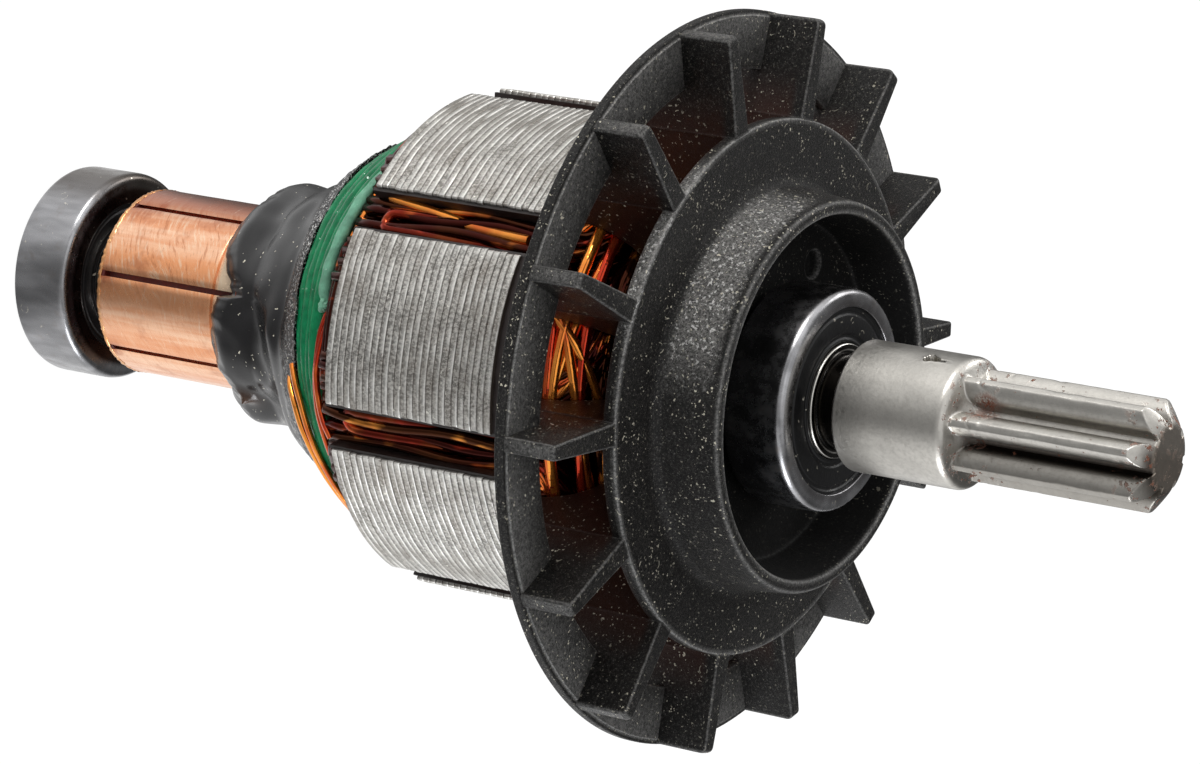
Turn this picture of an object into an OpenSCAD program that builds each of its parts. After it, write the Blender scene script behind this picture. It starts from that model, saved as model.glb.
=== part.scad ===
// Motor armature with a fan, two ball bearings and a pinion.
// It stands on the rear bearing: the origin is the centre of that bearing's rear face,
// and +Z runs along the shaft towards the pinion. All sizes are in millimetres.

/* [Shaft] */
// Radius of the shaft in the commutator, the core, the fan and the front bearing
shaft_r = 4; // [3.8:0.05:4.1]
// Radius of the journal in the rear bearing
journal_r = 3.5; // [3.3:0.05:3.7]
// Radius of the stub pressed into the pinion
stub_r = 3; // [2.7:0.1:3.2]
// How far the shaft's rear end stands back from the bearing's face
shaft_inset = 0.3; // [0.2:0.1:0.6]

/* [Ball bearings] */
// Outer radius of both bearings
bearing_r = 9.5; // [9.4:0.05:9.6]
// Width of both bearings
bearing_w = 6; // [5.9:0.05:6.1]
// Rounding of the outer rings' edges
ring_edge = 0.45; // [0.3:0.05:0.6]
// Number of balls in each bearing
ball_count = 8; // [6:1:8]
// Height of the front bearing's rear face
front_bearing_z = 76.7; // [76.4:0.1:77]

/* [Commutator] */
// Radius of the brush track
track_r = 8.4; // [8.2:0.1:8.6]
// Height of the brush track's rear end
track_z = 9.1; // [8.8:0.1:9.6]
// Length of the brush track
track_len = 13.2; // [12.5:0.1:13.3]
// Radius of the risers that take the leads
riser_r = 8.95; // [8.9:0.05:9.2]
// Length of the risers
riser_len = 2.5; // [2:0.1:2.6]
// Width of the slits between the bars
slit_w = 0.5; // [0.4:0.05:0.6]

/* [Core] */
// Outer radius of the laminated core
core_r = 21.9; // [21.5:0.1:22.2]
// Height of the core's rear face
core_z = 45.1; // [45:0.1:45.4]
// Length of the core
core_len = 17; // [16.8:0.1:17.2]
// Number of sheets in the core
sheet_count = 26; // [20:1:30]
// Depth of the lines between the sheets' edges
sheet_line = 0.12; // [0.08:0.02:0.2]
// Width of a slot's opening at the rim
slot_mouth = 4.2; // [4:0.1:4.6]
// Width of a tooth's stem
stem_w = 5.2; // [4.8:0.1:5.6]
// Radius of the slots' floors
slot_floor_r = 9; // [8.6:0.1:9.4]
// Inner radius of the tooth heads
head_r = 20.4; // [20.2:0.1:20.6]
// Thickness of the fibre discs on the core's ends
end_disc_t = 0.9; // [0.8:0.1:1.2]
// Thickness of the slot liners
liner_t = 0.3; // [0.25:0.05:0.35]

/* [Windings] */
// Height of one coil's layer in the commutator-end head
rear_layer = 1.1; // [1:0.05:1.15]
// Height of one coil's layer in the fan-end head
front_layer = 0.9; // [0.86:0.01:0.92]
// Radius where the heads' crossings end and their risers begin
crossing_r = 12; // [11.5:0.1:12.5]

/* [Sleeve and lacing] */
// Thickness of the black insulating sleeve
sleeve_t = 0.8; // [0.6:0.1:0.9]
// Number of turns in the green lacing
lacing_turns = 5; // [4:1:6]
// Thickness of the green lacing
lacing_t = 1.4; // [1.2:0.1:1.6]

/* [Fan] */
// Outer radius of the fan
fan_r = 31.5; // [31:0.1:32]
// Number of blades
blade_count = 14; // [10:1:16]
// Height of the rim plate's rear face
rim_z = 69.3; // [69:0.1:69.5]
// Thickness of the rim plate
rim_t = 1.05; // [0.9:0.05:1.2]
// Inner radius of the rim plate
rim_inner_r = 26.5; // [26:0.1:27]
// Height of the hub disc's front face
disc_top_z = 75.2; // [75.1:0.05:75.3]
// Radius of the hub disc
disc_r = 22.9; // [22.5:0.1:23.2]
// Thickness of the hub disc
disc_t = 1.25; // [1.1:0.05:1.3]
// Thickness of a blade at its tip
blade_tip_t = 1.3; // [1.1:0.1:1.5]
// Thickness of a blade at the hub disc's edge
blade_root_t = 2; // [1.7:0.1:2.2]
// Height of the collar's top
collar_top_z = 81; // [80.6:0.1:81.2]

/* [Pinion] */
// Radius of the pinion's sleeve
pinion_sleeve_r = 5.58; // [5.4:0.02:5.8]
// Height of the sleeve's rear end
pinion_z = 84.95; // [84.5:0.05:85.2]
// Length of the sleeve
pinion_sleeve_len = 10; // [9.8:0.1:10.2]
// Number of teeth
tooth_count = 7; // [7:1:8]
// Radius over the teeth's tips
tip_r = 4.75; // [4.6:0.05:4.8]
// Radius at the teeth's roots
root_r = 2.6; // [2.5:0.05:2.7]
// Height of the pinion's front end
pinion_top_z = 113.5; // [113:0.1:114]

/* [Hidden] */
$fn = 96;
bar_count = 7;
slot_count = 7;
slot_pitch = 360 / slot_count;
coil_span = 3;
first_tooth_deg = -89.1;
first_slot_deg = first_tooth_deg - slot_pitch / 2;
first_blade_deg = 2.4;
first_cog_deg = -87.3;
tiny = 0.05;

core_top_z = core_z + core_len;
rear_disc_z = core_z - end_disc_t;
front_disc_z = core_top_z;
cuff = 1;
rear_head_z = rear_disc_z - cuff;
front_head_z = front_disc_z + end_disc_t + cuff;
rear_head_end_z = rear_head_z - slot_count * rear_layer;
front_head_end_z = front_head_z + slot_count * front_layer;
layer_gap = 0.06;
half_gap = 0.06;
head_inner_r = 5.4;
tube_r = 5.1;
track_end_z = track_z + track_len;
riser_end_z = track_end_z + riser_len;
hub_end_z = riser_end_z + 0.4;
bar_inner_r = 6.6;
fan_bore_end_z = 72.9;
stub_top_z = 92.5;
mouth_lap = 2;

// Points of an arc round (x, y), from angle a0 to a1
function arc(x, y, r, a0, a1, steps = 6) =
    [for (i = [0 : steps]) let (a = a0 + (a1 - a0) * i / steps) [x + r * cos(a), y + r * sin(a)]];

// What a rounding of radius e takes off an outer corner of a profile; sx and sy point out of it
module corner_waste(x, y, e, sx, sy) {
    difference() {
        translate([sx > 0 ? x - e : x - tiny, sy > 0 ? y - e : y - tiny]) square(e + tiny);
        translate([x - sx * e, y - sy * e]) circle(r = e);
    }
}

module ring(r_out, r_in, h) {
    difference() {
        cylinder(r = r_out, h = h);
        translate([0, 0, -1]) cylinder(r = r_in, h = h + 2);
    }
}

// The shaft, stepped for the rear bearing, the core and the pinion
module shaft() {
    end_edge = 0.4;
    color([0.62, 0.62, 0.63])
        rotate_extrude() polygon([
            [0, shaft_inset],
            [journal_r - end_edge, shaft_inset],
            [journal_r, shaft_inset + end_edge],
            [journal_r, bearing_w],
            [shaft_r, bearing_w],
            [shaft_r, pinion_z],
            [stub_r, pinion_z],
            [stub_r, stub_top_z - end_edge],
            [stub_r - end_edge, stub_top_z],
            [0, stub_top_z]
        ]);
}

// The bearings: race and land radii follow from the bore
race_play = 0.05;
seal_play = 0.08;
seal_seat_r = 8;
seal_inset = 0.25;
seal_t = 0.5;
seat_depth = seal_inset + seal_t;
shoulder_depth = seat_depth + 0.1;
function pitch_r(bore) = (bearing_r + bore) / 2;
function ball_r(bore) = 0.58 * (bearing_r - bore) / 2;
function outer_land_r(bore) = pitch_r(bore) + 0.7 * ball_r(bore);
function inner_land_r(bore) = pitch_r(bore) - 0.7 * ball_r(bore);
function shoulder_r(bore) = bore + 0.9;

module outer_ring(bore) {
    land = outer_land_r(bore);
    color([0.55, 0.56, 0.58])
        rotate_extrude() difference() {
            polygon([
                [seal_seat_r, 0],
                [bearing_r, 0],
                [bearing_r, bearing_w],
                [seal_seat_r, bearing_w],
                [seal_seat_r, bearing_w - seat_depth],
                [land, bearing_w - seat_depth],
                [land, seat_depth],
                [seal_seat_r, seat_depth]
            ]);
            corner_waste(bearing_r, 0, ring_edge, 1, -1);
            corner_waste(bearing_r, bearing_w, ring_edge, 1, 1);
            translate([pitch_r(bore), bearing_w / 2]) circle(r = ball_r(bore) + race_play);
        }
}

module inner_ring(bore) {
    edge = 0.25;
    land = inner_land_r(bore);
    shoulder = shoulder_r(bore);
    color([0.62, 0.63, 0.65])
        rotate_extrude() difference() {
            polygon([
                [bore, edge],
                [bore + edge, 0],
                [shoulder, 0],
                [shoulder, shoulder_depth],
                [land, shoulder_depth],
                [land, bearing_w - shoulder_depth],
                [shoulder, bearing_w - shoulder_depth],
                [shoulder, bearing_w],
                [bore + edge, bearing_w],
                [bore, bearing_w - edge]
            ]);
            translate([pitch_r(bore), bearing_w / 2]) circle(r = ball_r(bore) + race_play);
        }
}

module balls(bore) {
    color([0.75, 0.76, 0.78])
        for (i = [0 : ball_count - 1])
            rotate([0, 0, i * 360 / ball_count])
                translate([pitch_r(bore), 0, bearing_w / 2])
                    sphere(r = ball_r(bore));
}

// One band round the pitch circle, with a pocket for each ball
module cage(bore) {
    band_t = 1;
    end_play = 0.1;
    band_z = shoulder_depth + end_play;
    color([0.72, 0.6, 0.35])
        difference() {
            translate([0, 0, band_z])
                ring(pitch_r(bore) + band_t / 2, pitch_r(bore) - band_t / 2, bearing_w - 2 * band_z);
            for (i = [0 : ball_count - 1])
                rotate([0, 0, i * 360 / ball_count])
                    translate([pitch_r(bore) - band_t, 0, bearing_w / 2]) rotate([0, 90, 0])
                        cylinder(r = ball_r(bore) + race_play, h = 2 * band_t);
        }
}

module seal(bore) {
    color([0.08, 0.08, 0.09])
        ring(seal_seat_r, shoulder_r(bore) + seal_play, seal_t);
}

module seal_out(bore) {
    translate([0, 0, seal_inset]) seal(bore);
}

module seal_in(bore) {
    translate([0, 0, bearing_w - seal_inset - seal_t]) seal(bore);
}

// The commutator's moulded hub, with a rib in each slit between the bars
module commutator_hub() {
    undercut = 0.7;
    flush_len = 0.6;
    color([0.32, 0.12, 0.08])
        difference() {
            union() {
                translate([0, 0, track_z]) cylinder(r = bar_inner_r, h = hub_end_z - track_z);
                for (k = [0 : bar_count - 1])
                    rotate([0, 0, first_tooth_deg + k * slot_pitch]) {
                        translate([bar_inner_r - 1, -slit_w / 2, track_z])
                            cube([track_r - undercut - bar_inner_r + 1, slit_w, riser_end_z - track_z]);
                        translate([bar_inner_r - 1, -slit_w / 2, track_z])
                            cube([track_r - tiny - bar_inner_r + 1, slit_w, flush_len]);
                    }
            }
            translate([0, 0, track_z - 1]) cylinder(r = shaft_r, h = hub_end_z - track_z + 2);
        }
}

// One copper bar: the brush track, a step and the riser, cut free at both sides
module commutator_bar(k) {
    track_edge = 0.2;
    color([0.83, 0.52, 0.36])
        rotate([0, 0, first_tooth_deg + k * slot_pitch])
            difference() {
                rotate_extrude(angle = slot_pitch) polygon([
                    [bar_inner_r, track_z],
                    [track_r - track_edge, track_z],
                    [track_r, track_z + track_edge],
                    [track_r, track_end_z],
                    [riser_r, track_end_z + (riser_r - track_r) / 2],
                    [riser_r, riser_end_z],
                    [bar_inner_r, riser_end_z]
                ]);
                for (side = [0, 1])
                    rotate([0, 0, side * slot_pitch])
                        translate([0, -slit_w / 2, track_z - 1])
                            cube([riser_r + 1, slit_w, riser_end_z - track_z + 2]);
            }
}

// The wedge between two tooth stems, drawn about the slot's own axis and shrunk by d
function stem_x(t, d) = t * cos(slot_pitch / 2) + (stem_w / 2 + d) * sin(slot_pitch / 2);
function stem_y(t, d) = t * sin(slot_pitch / 2) - (stem_w / 2 + d) * cos(slot_pitch / 2);
module slot_wedge(d) {
    reach = core_r + 8;
    polygon([
        [(stem_w / 2 + d) / sin(slot_pitch / 2), 0],
        [stem_x(reach, d), -stem_y(reach, d)],
        [stem_x(reach, d), stem_y(reach, d)]
    ]);
}

module slot_outline(d) {
    intersection() {
        difference() {
            circle(r = head_r - d);
            circle(r = slot_floor_r + d);
        }
        slot_wedge(d);
    }
}

module at_slot(k) {
    rotate([0, 0, first_slot_deg + k * slot_pitch]) children();
}

// The outline of a sheet: a round plate less its bore, slots and slot mouths
module sheet_outline(r) {
    difference() {
        circle(r = r);
        circle(r = shaft_r);
        for (k = [0 : slot_count - 1])
            at_slot(k) {
                slot_outline(0);
                translate([head_r - mouth_lap, -slot_mouth / 2]) square([core_r, slot_mouth]);
            }
    }
}

// The pressed stack of steel sheets, with a fine line between each two edges
module core() {
    pitch = core_len / sheet_count;
    line_w = 0.14;
    color([0.6, 0.6, 0.59])
        intersection() {
            translate([0, 0, core_z]) linear_extrude(core_len) sheet_outline(core_r + 1);
            rotate_extrude() difference() {
                translate([0, core_z]) square([core_r, core_len]);
                for (i = [1 : sheet_count - 1])
                    translate([core_r - sheet_line, core_z + i * pitch - line_w / 2])
                        square([1, line_w]);
            }
        }
}

// A fibre disc of the sheets' own outline. The rear one ends under the teeth's heads.
rear_disc_inset = 1.7;
front_disc_inset = 0.4;
module end_disc(z, inset) {
    color([0.12, 0.11, 0.11])
        translate([0, 0, z]) linear_extrude(end_disc_t) sheet_outline(core_r - inset);
}

module shaft_tube(z0, z1) {
    color([0.13, 0.12, 0.12])
        translate([0, 0, z0]) ring(tube_r, shaft_r, z1 - z0);
}

// A folded liner: it follows the slot's walls and stands up at both sides of the mouth
module slot_liner(k) {
    lip_inset = 0.45;
    lip_top = core_r - lip_inset;
    overhang = 0.3;
    color([0.1, 0.09, 0.09])
        at_slot(k)
            translate([0, 0, core_z - overhang])
                linear_extrude(core_len + 2 * overhang) difference() {
                    union() {
                        slot_outline(0);
                        translate([head_r - mouth_lap, -slot_mouth / 2])
                            square([lip_top - head_r + mouth_lap, slot_mouth]);
                    }
                    slot_outline(liner_t);
                    translate([slot_floor_r + mouth_lap, -slot_mouth / 2 + liner_t])
                        square([core_r, slot_mouth - 2 * liner_t]);
                }
}

// Half a slot's wedge, on the side that the sign gives, between two radii
module half_slot(side, r_in, r_out) {
    play = 0.05;
    intersection() {
        difference() {
            circle(r = r_out);
            circle(r = r_in);
        }
        slot_wedge(liner_t + play);
        translate([0, side > 0 ? half_gap : -half_gap - core_r]) square([core_r + 1, core_r]);
    }
}

// The outer forms of the two winding heads: a cone at the rear and a dome at the front
rear_cone_r = 14.6;
rear_base_r = 18.6;
front_base_r = 19.4;
crown_r = 11.6;
dome_foot_z = front_head_z + 0.2;
dome_h = front_head_end_z - dome_foot_z;

// A point of the front head's quarter ellipse at angle a, moved out by a gap
function dome_point(a, gap) = [
    crown_r + (front_base_r - crown_r + gap) * cos(a),
    dome_foot_z + (dome_h + gap) * sin(a)
];

module head_forms() {
    cone_edge = 0.6;
    rotate_extrude() {
        polygon([
            [head_inner_r, rear_head_end_z],
            [rear_cone_r - cone_edge, rear_head_end_z],
            [rear_cone_r, rear_head_end_z + cone_edge],
            [rear_base_r, rear_head_z + tiny],
            [head_inner_r, rear_head_z + tiny]
        ]);
        polygon(concat(
            [[head_inner_r, front_head_z - tiny], [front_base_r, front_head_z - tiny]],
            [for (i = [0 : 6]) dome_point(15 * i, 0)],
            [[head_inner_r, front_head_end_z]]
        ));
    }
}

// A form coil: one side in slot k, the other three slots on, joined across both heads.
// Each coil has a layer of its own in the heads, so that no two coils meet.
module coil_side(k, side, rear_z, front_z) {
    at_slot(k) {
        translate([0, 0, rear_head_z])
            linear_extrude(front_head_z - rear_head_z)
                half_slot(side, slot_floor_r + liner_t + half_gap, head_r - liner_t - half_gap);
        translate([0, 0, rear_z])
            linear_extrude(front_z - rear_z)
                half_slot(side, crossing_r + half_gap, head_r - liner_t - half_gap);
    }
}

module coil_crossing(k, z, h) {
    lap = 1.2;
    end_deg = 0.8;
    rotate([0, 0, first_slot_deg + k * slot_pitch + end_deg])
        rotate_extrude(angle = coil_span * slot_pitch - 2 * end_deg)
            translate([head_inner_r, z]) square([crossing_r - head_inner_r, h]);
    for (end = [0, coil_span])
        at_slot(k + end)
            translate([0, 0, z])
                linear_extrude(h)
                    half_slot(end == 0 ? 1 : -1, crossing_r - lap, crossing_r + lap);
}

module coil(k) {
    rear_z = rear_head_z - (k + 1) * rear_layer + layer_gap;
    front_z = front_head_z + k * front_layer;
    color([0.55, 0.17, 0.06]) {
        intersection() {
            union() {
                coil_side(k, 1, rear_z, front_z + front_layer - layer_gap);
                coil_side(k + coil_span, -1, rear_z, front_z + front_layer - layer_gap);
            }
            union() {
                head_forms();
                translate([0, 0, rear_head_z])
                    cylinder(r = head_r, h = front_head_z - rear_head_z);
            }
        }
        coil_crossing(k, rear_z, rear_layer - layer_gap);
        coil_crossing(k, front_z, front_layer - layer_gap);
    }
}

// The sleeve's outer radius: a rounded lip on the risers, a neck, then a bell over the leads
lip_z = 22.7;
lip_len = 2.9;
lip_r = riser_r + 0.35;
neck_r = 10.85;
bell_z = 28.4;
sleeve_end_z = 36.7;
bell_rate = 0.35;
bell_power = 1.27;
function sleeve_r(z) =
    z < lip_z + lip_len ? lip_r + (neck_r - lip_r) * sin(90 * (z - lip_z) / lip_len)
    : neck_r + bell_rate * pow(max(0, z - bell_z), bell_power);
function sleeve_heights(z0, z1, steps) = [for (i = [0 : steps]) z0 + (z1 - z0) * i / steps];

leads_wall_z = riser_end_z + 0.5;
leads_step = 0.6;

module insulating_sleeve() {
    end_bevel = 0.3;
    color([0.09, 0.09, 0.09])
        rotate_extrude() polygon(concat(
            [for (z = sleeve_heights(lip_z, lip_z + lip_len, 5)) [sleeve_r(z), z]],
            [for (z = sleeve_heights(bell_z, sleeve_end_z, 8)) [sleeve_r(z), z]],
            [for (z = sleeve_heights(sleeve_end_z - end_bevel, bell_z, 8)) [sleeve_r(z) - sleeve_t, z]],
            [
                [sleeve_r(leads_wall_z + leads_step) - sleeve_t, leads_wall_z + leads_step],
                [riser_r, leads_wall_z],
                [riser_r, lip_z]
            ]
        ));
}

// The coils' ends, gathered from the head to the risers and set in varnish under the sleeve
module coil_leads() {
    foot_r = 8.6;
    play = 0.2;
    color([0.45, 0.14, 0.06])
        rotate_extrude() polygon(concat(
            [[tube_r, hub_end_z], [foot_r, hub_end_z], [riser_r - play, leads_wall_z]],
            [[sleeve_r(leads_wall_z + leads_step) - sleeve_t, leads_wall_z + leads_step]],
            [for (z = sleeve_heights(bell_z, rear_head_end_z, 7)) [sleeve_r(z) - sleeve_t, z]],
            [[tube_r, rear_head_end_z]]
        ));
}

// Turns of varnished cord that bind the commutator-end head, side by side up its cone
lacing_start = [15.2, 37];
lacing_end = [18.6, 43.1];
module green_lacing() {
    dir = lacing_end - lacing_start;
    len = norm(dir);
    lean = atan2(dir[1], dir[0]);
    turn = len / lacing_turns;
    bed = lacing_t * 0.5;
    color([0.05, 0.42, 0.27])
        rotate_extrude() polygon(concat(
            [for (i = [0 : lacing_turns - 1], p = arc(0, 0, turn / 2, 180, 22.5, 7))
                let (along = turn * (i + 0.5) + p[0], out = bed + p[1] * (lacing_t - bed) / (turn / 2))
                    lacing_start + along * [cos(lean), sin(lean)] + out * [sin(lean), -cos(lean)]],
            [lacing_end, lacing_start]
        ));
}

// The moulded fan: rim plate, blades and hub with its bearing collar in one piece
collar_floor_z = 75.7;
collar_floor_r = 14.6;
collar_mouth_r = 15.6;
collar_out_r = 16.65;
collar_base_r = 17.2;
boss_r = 5.4;
module fan_hub_profile() {
    base_fillet = 0.9;
    top_edge = 0.45;
    mouth_edge = 0.3;
    spigot_r = 7.4;
    spigot_root_r = 8.4;
    polygon(concat(
        [
            [shaft_r, front_bearing_z],
            [boss_r, front_bearing_z],
            [boss_r, collar_floor_z],
            [collar_floor_r, collar_floor_z],
            [collar_mouth_r - mouth_edge / 2, collar_top_z - mouth_edge],
            [collar_mouth_r + mouth_edge / 3, collar_top_z]
        ],
        arc(collar_out_r - top_edge, collar_top_z - top_edge, top_edge, 90, 5, 5),
        arc(collar_base_r + base_fillet, disc_top_z + base_fillet, base_fillet, 180, 270, 5),
        [
            [disc_r, disc_top_z],
            [disc_r, disc_top_z - disc_t],
            [spigot_root_r, disc_top_z - disc_t],
            [spigot_r, fan_bore_end_z],
            [shaft_r, fan_bore_end_z]
        ]
    ));
}

// One straight blade. Its vane stands on the rim plate, and its rib runs on under the hub disc,
// with a lower edge that follows the winding head's dome.
rib_in_r = 9.5;
rib_z = 70.8;
web_z = 64.6;
blade_out_r = fan_r - 0.1;

// The blade from above: it thins from the hub disc's edge towards its tip
module blade_plan() {
    tip_edge = 0.4;
    tip_bevel = 0.17;
    polygon([
        [rib_in_r, -blade_root_t / 2],
        [disc_r, -blade_root_t / 2],
        [blade_out_r - tip_edge, -blade_tip_t / 2],
        [blade_out_r, -blade_tip_t / 2 + tip_bevel],
        [blade_out_r, blade_tip_t / 2 - tip_bevel],
        [blade_out_r - tip_edge, blade_tip_t / 2],
        [disc_r, blade_root_t / 2],
        [rib_in_r, blade_root_t / 2]
    ]);
}

// The blade from the side, as radius and height
module blade_side() {
    gap = 0.35;
    web_out_r = 24.3;
    web_rim_r = 28.4;
    vane_in_r = disc_r - 2;
    rib_top_z = disc_top_z - disc_t / 2;
    foot_z = rim_z + rim_t / 2;
    polygon(concat(
        [[rib_in_r, rib_top_z], [rib_in_r, rib_z], [dome_point(75, gap)[0], rib_z]],
        [for (i = [5 : -1 : 1]) dome_point(15 * i, gap)],
        [
            [front_base_r + gap, web_z],
            [web_out_r, web_z],
            [web_rim_r, foot_z],
            [blade_out_r, foot_z],
            [blade_out_r, disc_top_z],
            [vane_in_r, disc_top_z],
            [vane_in_r, rib_top_z]
        ]
    ));
}

module fan_blade() {
    intersection() {
        translate([0, 0, web_z - 1]) linear_extrude(disc_top_z - web_z + 2) blade_plan();
        rotate([90, 0, 0]) linear_extrude(2 * blade_root_t, center = true) blade_side();
    }
}

// The whole moulding, with a small dimple in the floor of its collar
module fan() {
    dimple_r = 1.2;
    dimple_at = 11.5;
    dimple_deg = 163.9;
    dimple_depth = 0.8;
    color([0.1, 0.1, 0.1])
        difference() {
            union() {
                rotate_extrude() fan_hub_profile();
                translate([0, 0, rim_z]) ring(fan_r, rim_inner_r, rim_t);
                for (i = [0 : blade_count - 1])
                    rotate([0, 0, first_blade_deg + i * 360 / blade_count]) fan_blade();
            }
            rotate([0, 0, dimple_deg])
                translate([dimple_at, 0, collar_floor_z - dimple_depth])
                    cylinder(r = dimple_r, h = dimple_depth + 1);
        }
}

// Involute flank of the pinion: half the angle that a tooth covers at radius r
module_mm = 1;
base_r = module_mm * tooth_count / 2 * cos(20);
tooth_half_deg = 17.3 * 7 / tooth_count;
function involute_deg(r) = let (a = acos(min(1, base_r / r))) tan(a) * 180 / PI - a;
function half_deg(r) = tooth_half_deg - involute_deg(r);

module cog_outline() {
    steps = 5;
    root_fillet = 0.1;
    fillet_deg = 1.5;
    floor_deg = 180 / tooth_count;
    flank = [for (i = [0 : steps]) base_r + (tip_r - base_r) * i / steps];
    function polar(r, a) = [r * cos(a), r * sin(a)];
    polygon([for (k = [0 : tooth_count - 1])
        let (mid = first_cog_deg + k * 360 / tooth_count)
            each concat(
                [polar(root_r, mid - floor_deg)],
                [polar(root_r + root_fillet, mid - tooth_half_deg - fillet_deg)],
                [for (r = flank) polar(r, mid - half_deg(r))],
                [for (i = [0 : steps]) let (r = flank[steps - i]) polar(r, mid + half_deg(r))],
                [polar(root_r + root_fillet, mid + tooth_half_deg + fillet_deg)]
            )
    ]);
}

// The pinion: a sleeve on the shaft's stub, a rounded shoulder with the cutter's run-out, and
// straight teeth whose ends are bevelled down to a flat nose
module pinion() {
    sleeve_end = pinion_z + pinion_sleeve_len;
    bevel_len = 1.45;
    nose_r = 2.75;
    clear_r = tip_r + 1;
    clear_len = bevel_len * (clear_r - nose_r) / (tip_r - nose_r);
    rear_edge = 0.2;
    shoulder_round = 0.8;
    shoulder_z = sleeve_end - 0.2;
    runout_r = 2.6;
    runout_at = [tip_r + 0.3, sleeve_end + 3.3];
    runout_end = arc(runout_at[0], runout_at[1], runout_r, 190, 190, 1)[0];
    vent_z = 92.1;
    vent_deg = -147.6;
    vent_r = 0.4;
    bore_end_z = stub_top_z + 0.5;
    color([0.58, 0.57, 0.54])
        difference() {
            union() {
                rotate_extrude() polygon(concat(
                    [
                        [0, pinion_z],
                        [pinion_sleeve_r - rear_edge, pinion_z],
                        [pinion_sleeve_r, pinion_z + rear_edge]
                    ],
                    arc(pinion_sleeve_r - shoulder_round, shoulder_z, shoulder_round, 0, 60, 4),
                    arc(runout_at[0], runout_at[1], runout_r, 250, 190, 5),
                    [[0, runout_end[1]]]
                ));
                intersection() {
                    translate([0, 0, sleeve_end - 1])
                        linear_extrude(pinion_top_z - sleeve_end + 1) cog_outline();
                    rotate_extrude() polygon([
                        [0, sleeve_end - 2],
                        [clear_r, sleeve_end - 2],
                        [clear_r, pinion_top_z - clear_len],
                        [nose_r, pinion_top_z],
                        [0, pinion_top_z]
                    ]);
                }
            }
            translate([0, 0, pinion_z - 1]) cylinder(r = stub_r, h = bore_end_z - pinion_z + 1);
            rotate([0, 0, vent_deg])
                translate([0, 0, vent_z]) rotate([0, 90, 0]) cylinder(r = vent_r, h = pinion_sleeve_r + 1);
        }
}

module at_front() {
    translate([0, 0, front_bearing_z]) children();
}

shaft();
pinion();
outer_ring(journal_r);  // rear_outer_ring
inner_ring(journal_r);  // rear_inner_ring
balls(journal_r);  // rear_balls
cage(journal_r);  // rear_cage
seal_out(journal_r);  // rear_seal_out
seal_in(journal_r);  // rear_seal_in
at_front() outer_ring(shaft_r);  // front_outer_ring
at_front() inner_ring(shaft_r);  // front_inner_ring
at_front() balls(shaft_r);  // front_balls
at_front() cage(shaft_r);  // front_cage
at_front() seal_in(shaft_r);  // front_seal_out
at_front() seal_out(shaft_r);  // front_seal_in
commutator_hub();
for (k = [0 : bar_count - 1])
    commutator_bar(k);
core();
end_disc(rear_disc_z, rear_disc_inset);  // rear_end_disc
end_disc(front_disc_z, front_disc_inset);  // front_end_disc
shaft_tube(hub_end_z, rear_disc_z);  // rear_shaft_tube
shaft_tube(front_disc_z + end_disc_t, fan_bore_end_z);  // front_shaft_tube
for (k = [0 : slot_count - 1])
    slot_liner(k);
for (k = [0 : slot_count - 1])
    coil(k);
coil_leads();
insulating_sleeve();
green_lacing();
fan();
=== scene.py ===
"""Looks of a motor armature, laid out as an add-on.

Each operator builds one piece, or a group of like pieces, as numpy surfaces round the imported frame.
Shapes are worked out in millimetres. The properties, the meshes and the materials use metres.
Angles go round the shaft's axis, +Z, from +X towards +Y.
"""

import math

import bpy
import numpy as np
from mathutils import Matrix, Vector
from mathutils.geometry import tessellate_polygon


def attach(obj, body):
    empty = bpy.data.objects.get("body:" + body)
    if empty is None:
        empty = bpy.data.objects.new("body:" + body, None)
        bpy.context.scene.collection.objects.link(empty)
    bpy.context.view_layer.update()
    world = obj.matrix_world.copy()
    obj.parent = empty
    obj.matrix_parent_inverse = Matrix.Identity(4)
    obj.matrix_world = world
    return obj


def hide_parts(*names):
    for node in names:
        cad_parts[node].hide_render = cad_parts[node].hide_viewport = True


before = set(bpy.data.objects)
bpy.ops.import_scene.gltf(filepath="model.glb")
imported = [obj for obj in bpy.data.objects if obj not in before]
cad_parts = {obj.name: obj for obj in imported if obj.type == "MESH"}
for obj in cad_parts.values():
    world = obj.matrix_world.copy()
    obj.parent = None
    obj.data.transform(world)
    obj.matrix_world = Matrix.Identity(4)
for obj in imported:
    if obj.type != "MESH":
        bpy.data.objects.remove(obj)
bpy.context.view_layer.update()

bl_info = {
    "name": "Motor armature looks",
    "version": (1, 0, 0),
    "blender": (4, 5, 0),
    "location": "3D View > Sidebar > Armature",
    "description": "Builds the visible pieces and finishes of a motor armature",
    "category": "Object",
}

MM = 0.001
ENDS = ("rear", "front")
SLOTS = 7
PITCH = 360 / SLOTS
HALF_PITCH = math.radians(PITCH / 2)
FIRST_TOOTH = -89.1
FIRST_SLOT = FIRST_TOOTH - PITCH / 2
TOOTH_STEM = 2.6
BAR_RADIUS = 8.4
# The fan-end winding head: a flat crown, and a quarter ellipse round it.
CROWN, DOME_REACH, DOME_FOOT, DOME_RISE = 11.6, 7.8, 64.2, 6.1
WIRE_SIDES = 6
BLADES = 14
FIRST_BLADE = 2.4
HUB_DISC = 22.9
FRONT_BEARING_Z = 76.7
# The pinion: its teeth, its sleeve's radius, and where the sleeve starts to round off.
COGS = 7
COG_PITCH = 360 / COGS
FIRST_COG = -87.3
COG_TIP = 4.75
PINION_SLEEVE = 5.58
ROUNDING_Z = 94.75


# ---------------------------------------------------------------- sizes and colours


def length(name, description, mm):
    """A length property that starts at so many millimetres."""
    return bpy.props.FloatProperty(
        name=name, description=description, default=mm * MM, min=0.0, unit="LENGTH", subtype="DISTANCE"
    )


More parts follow.
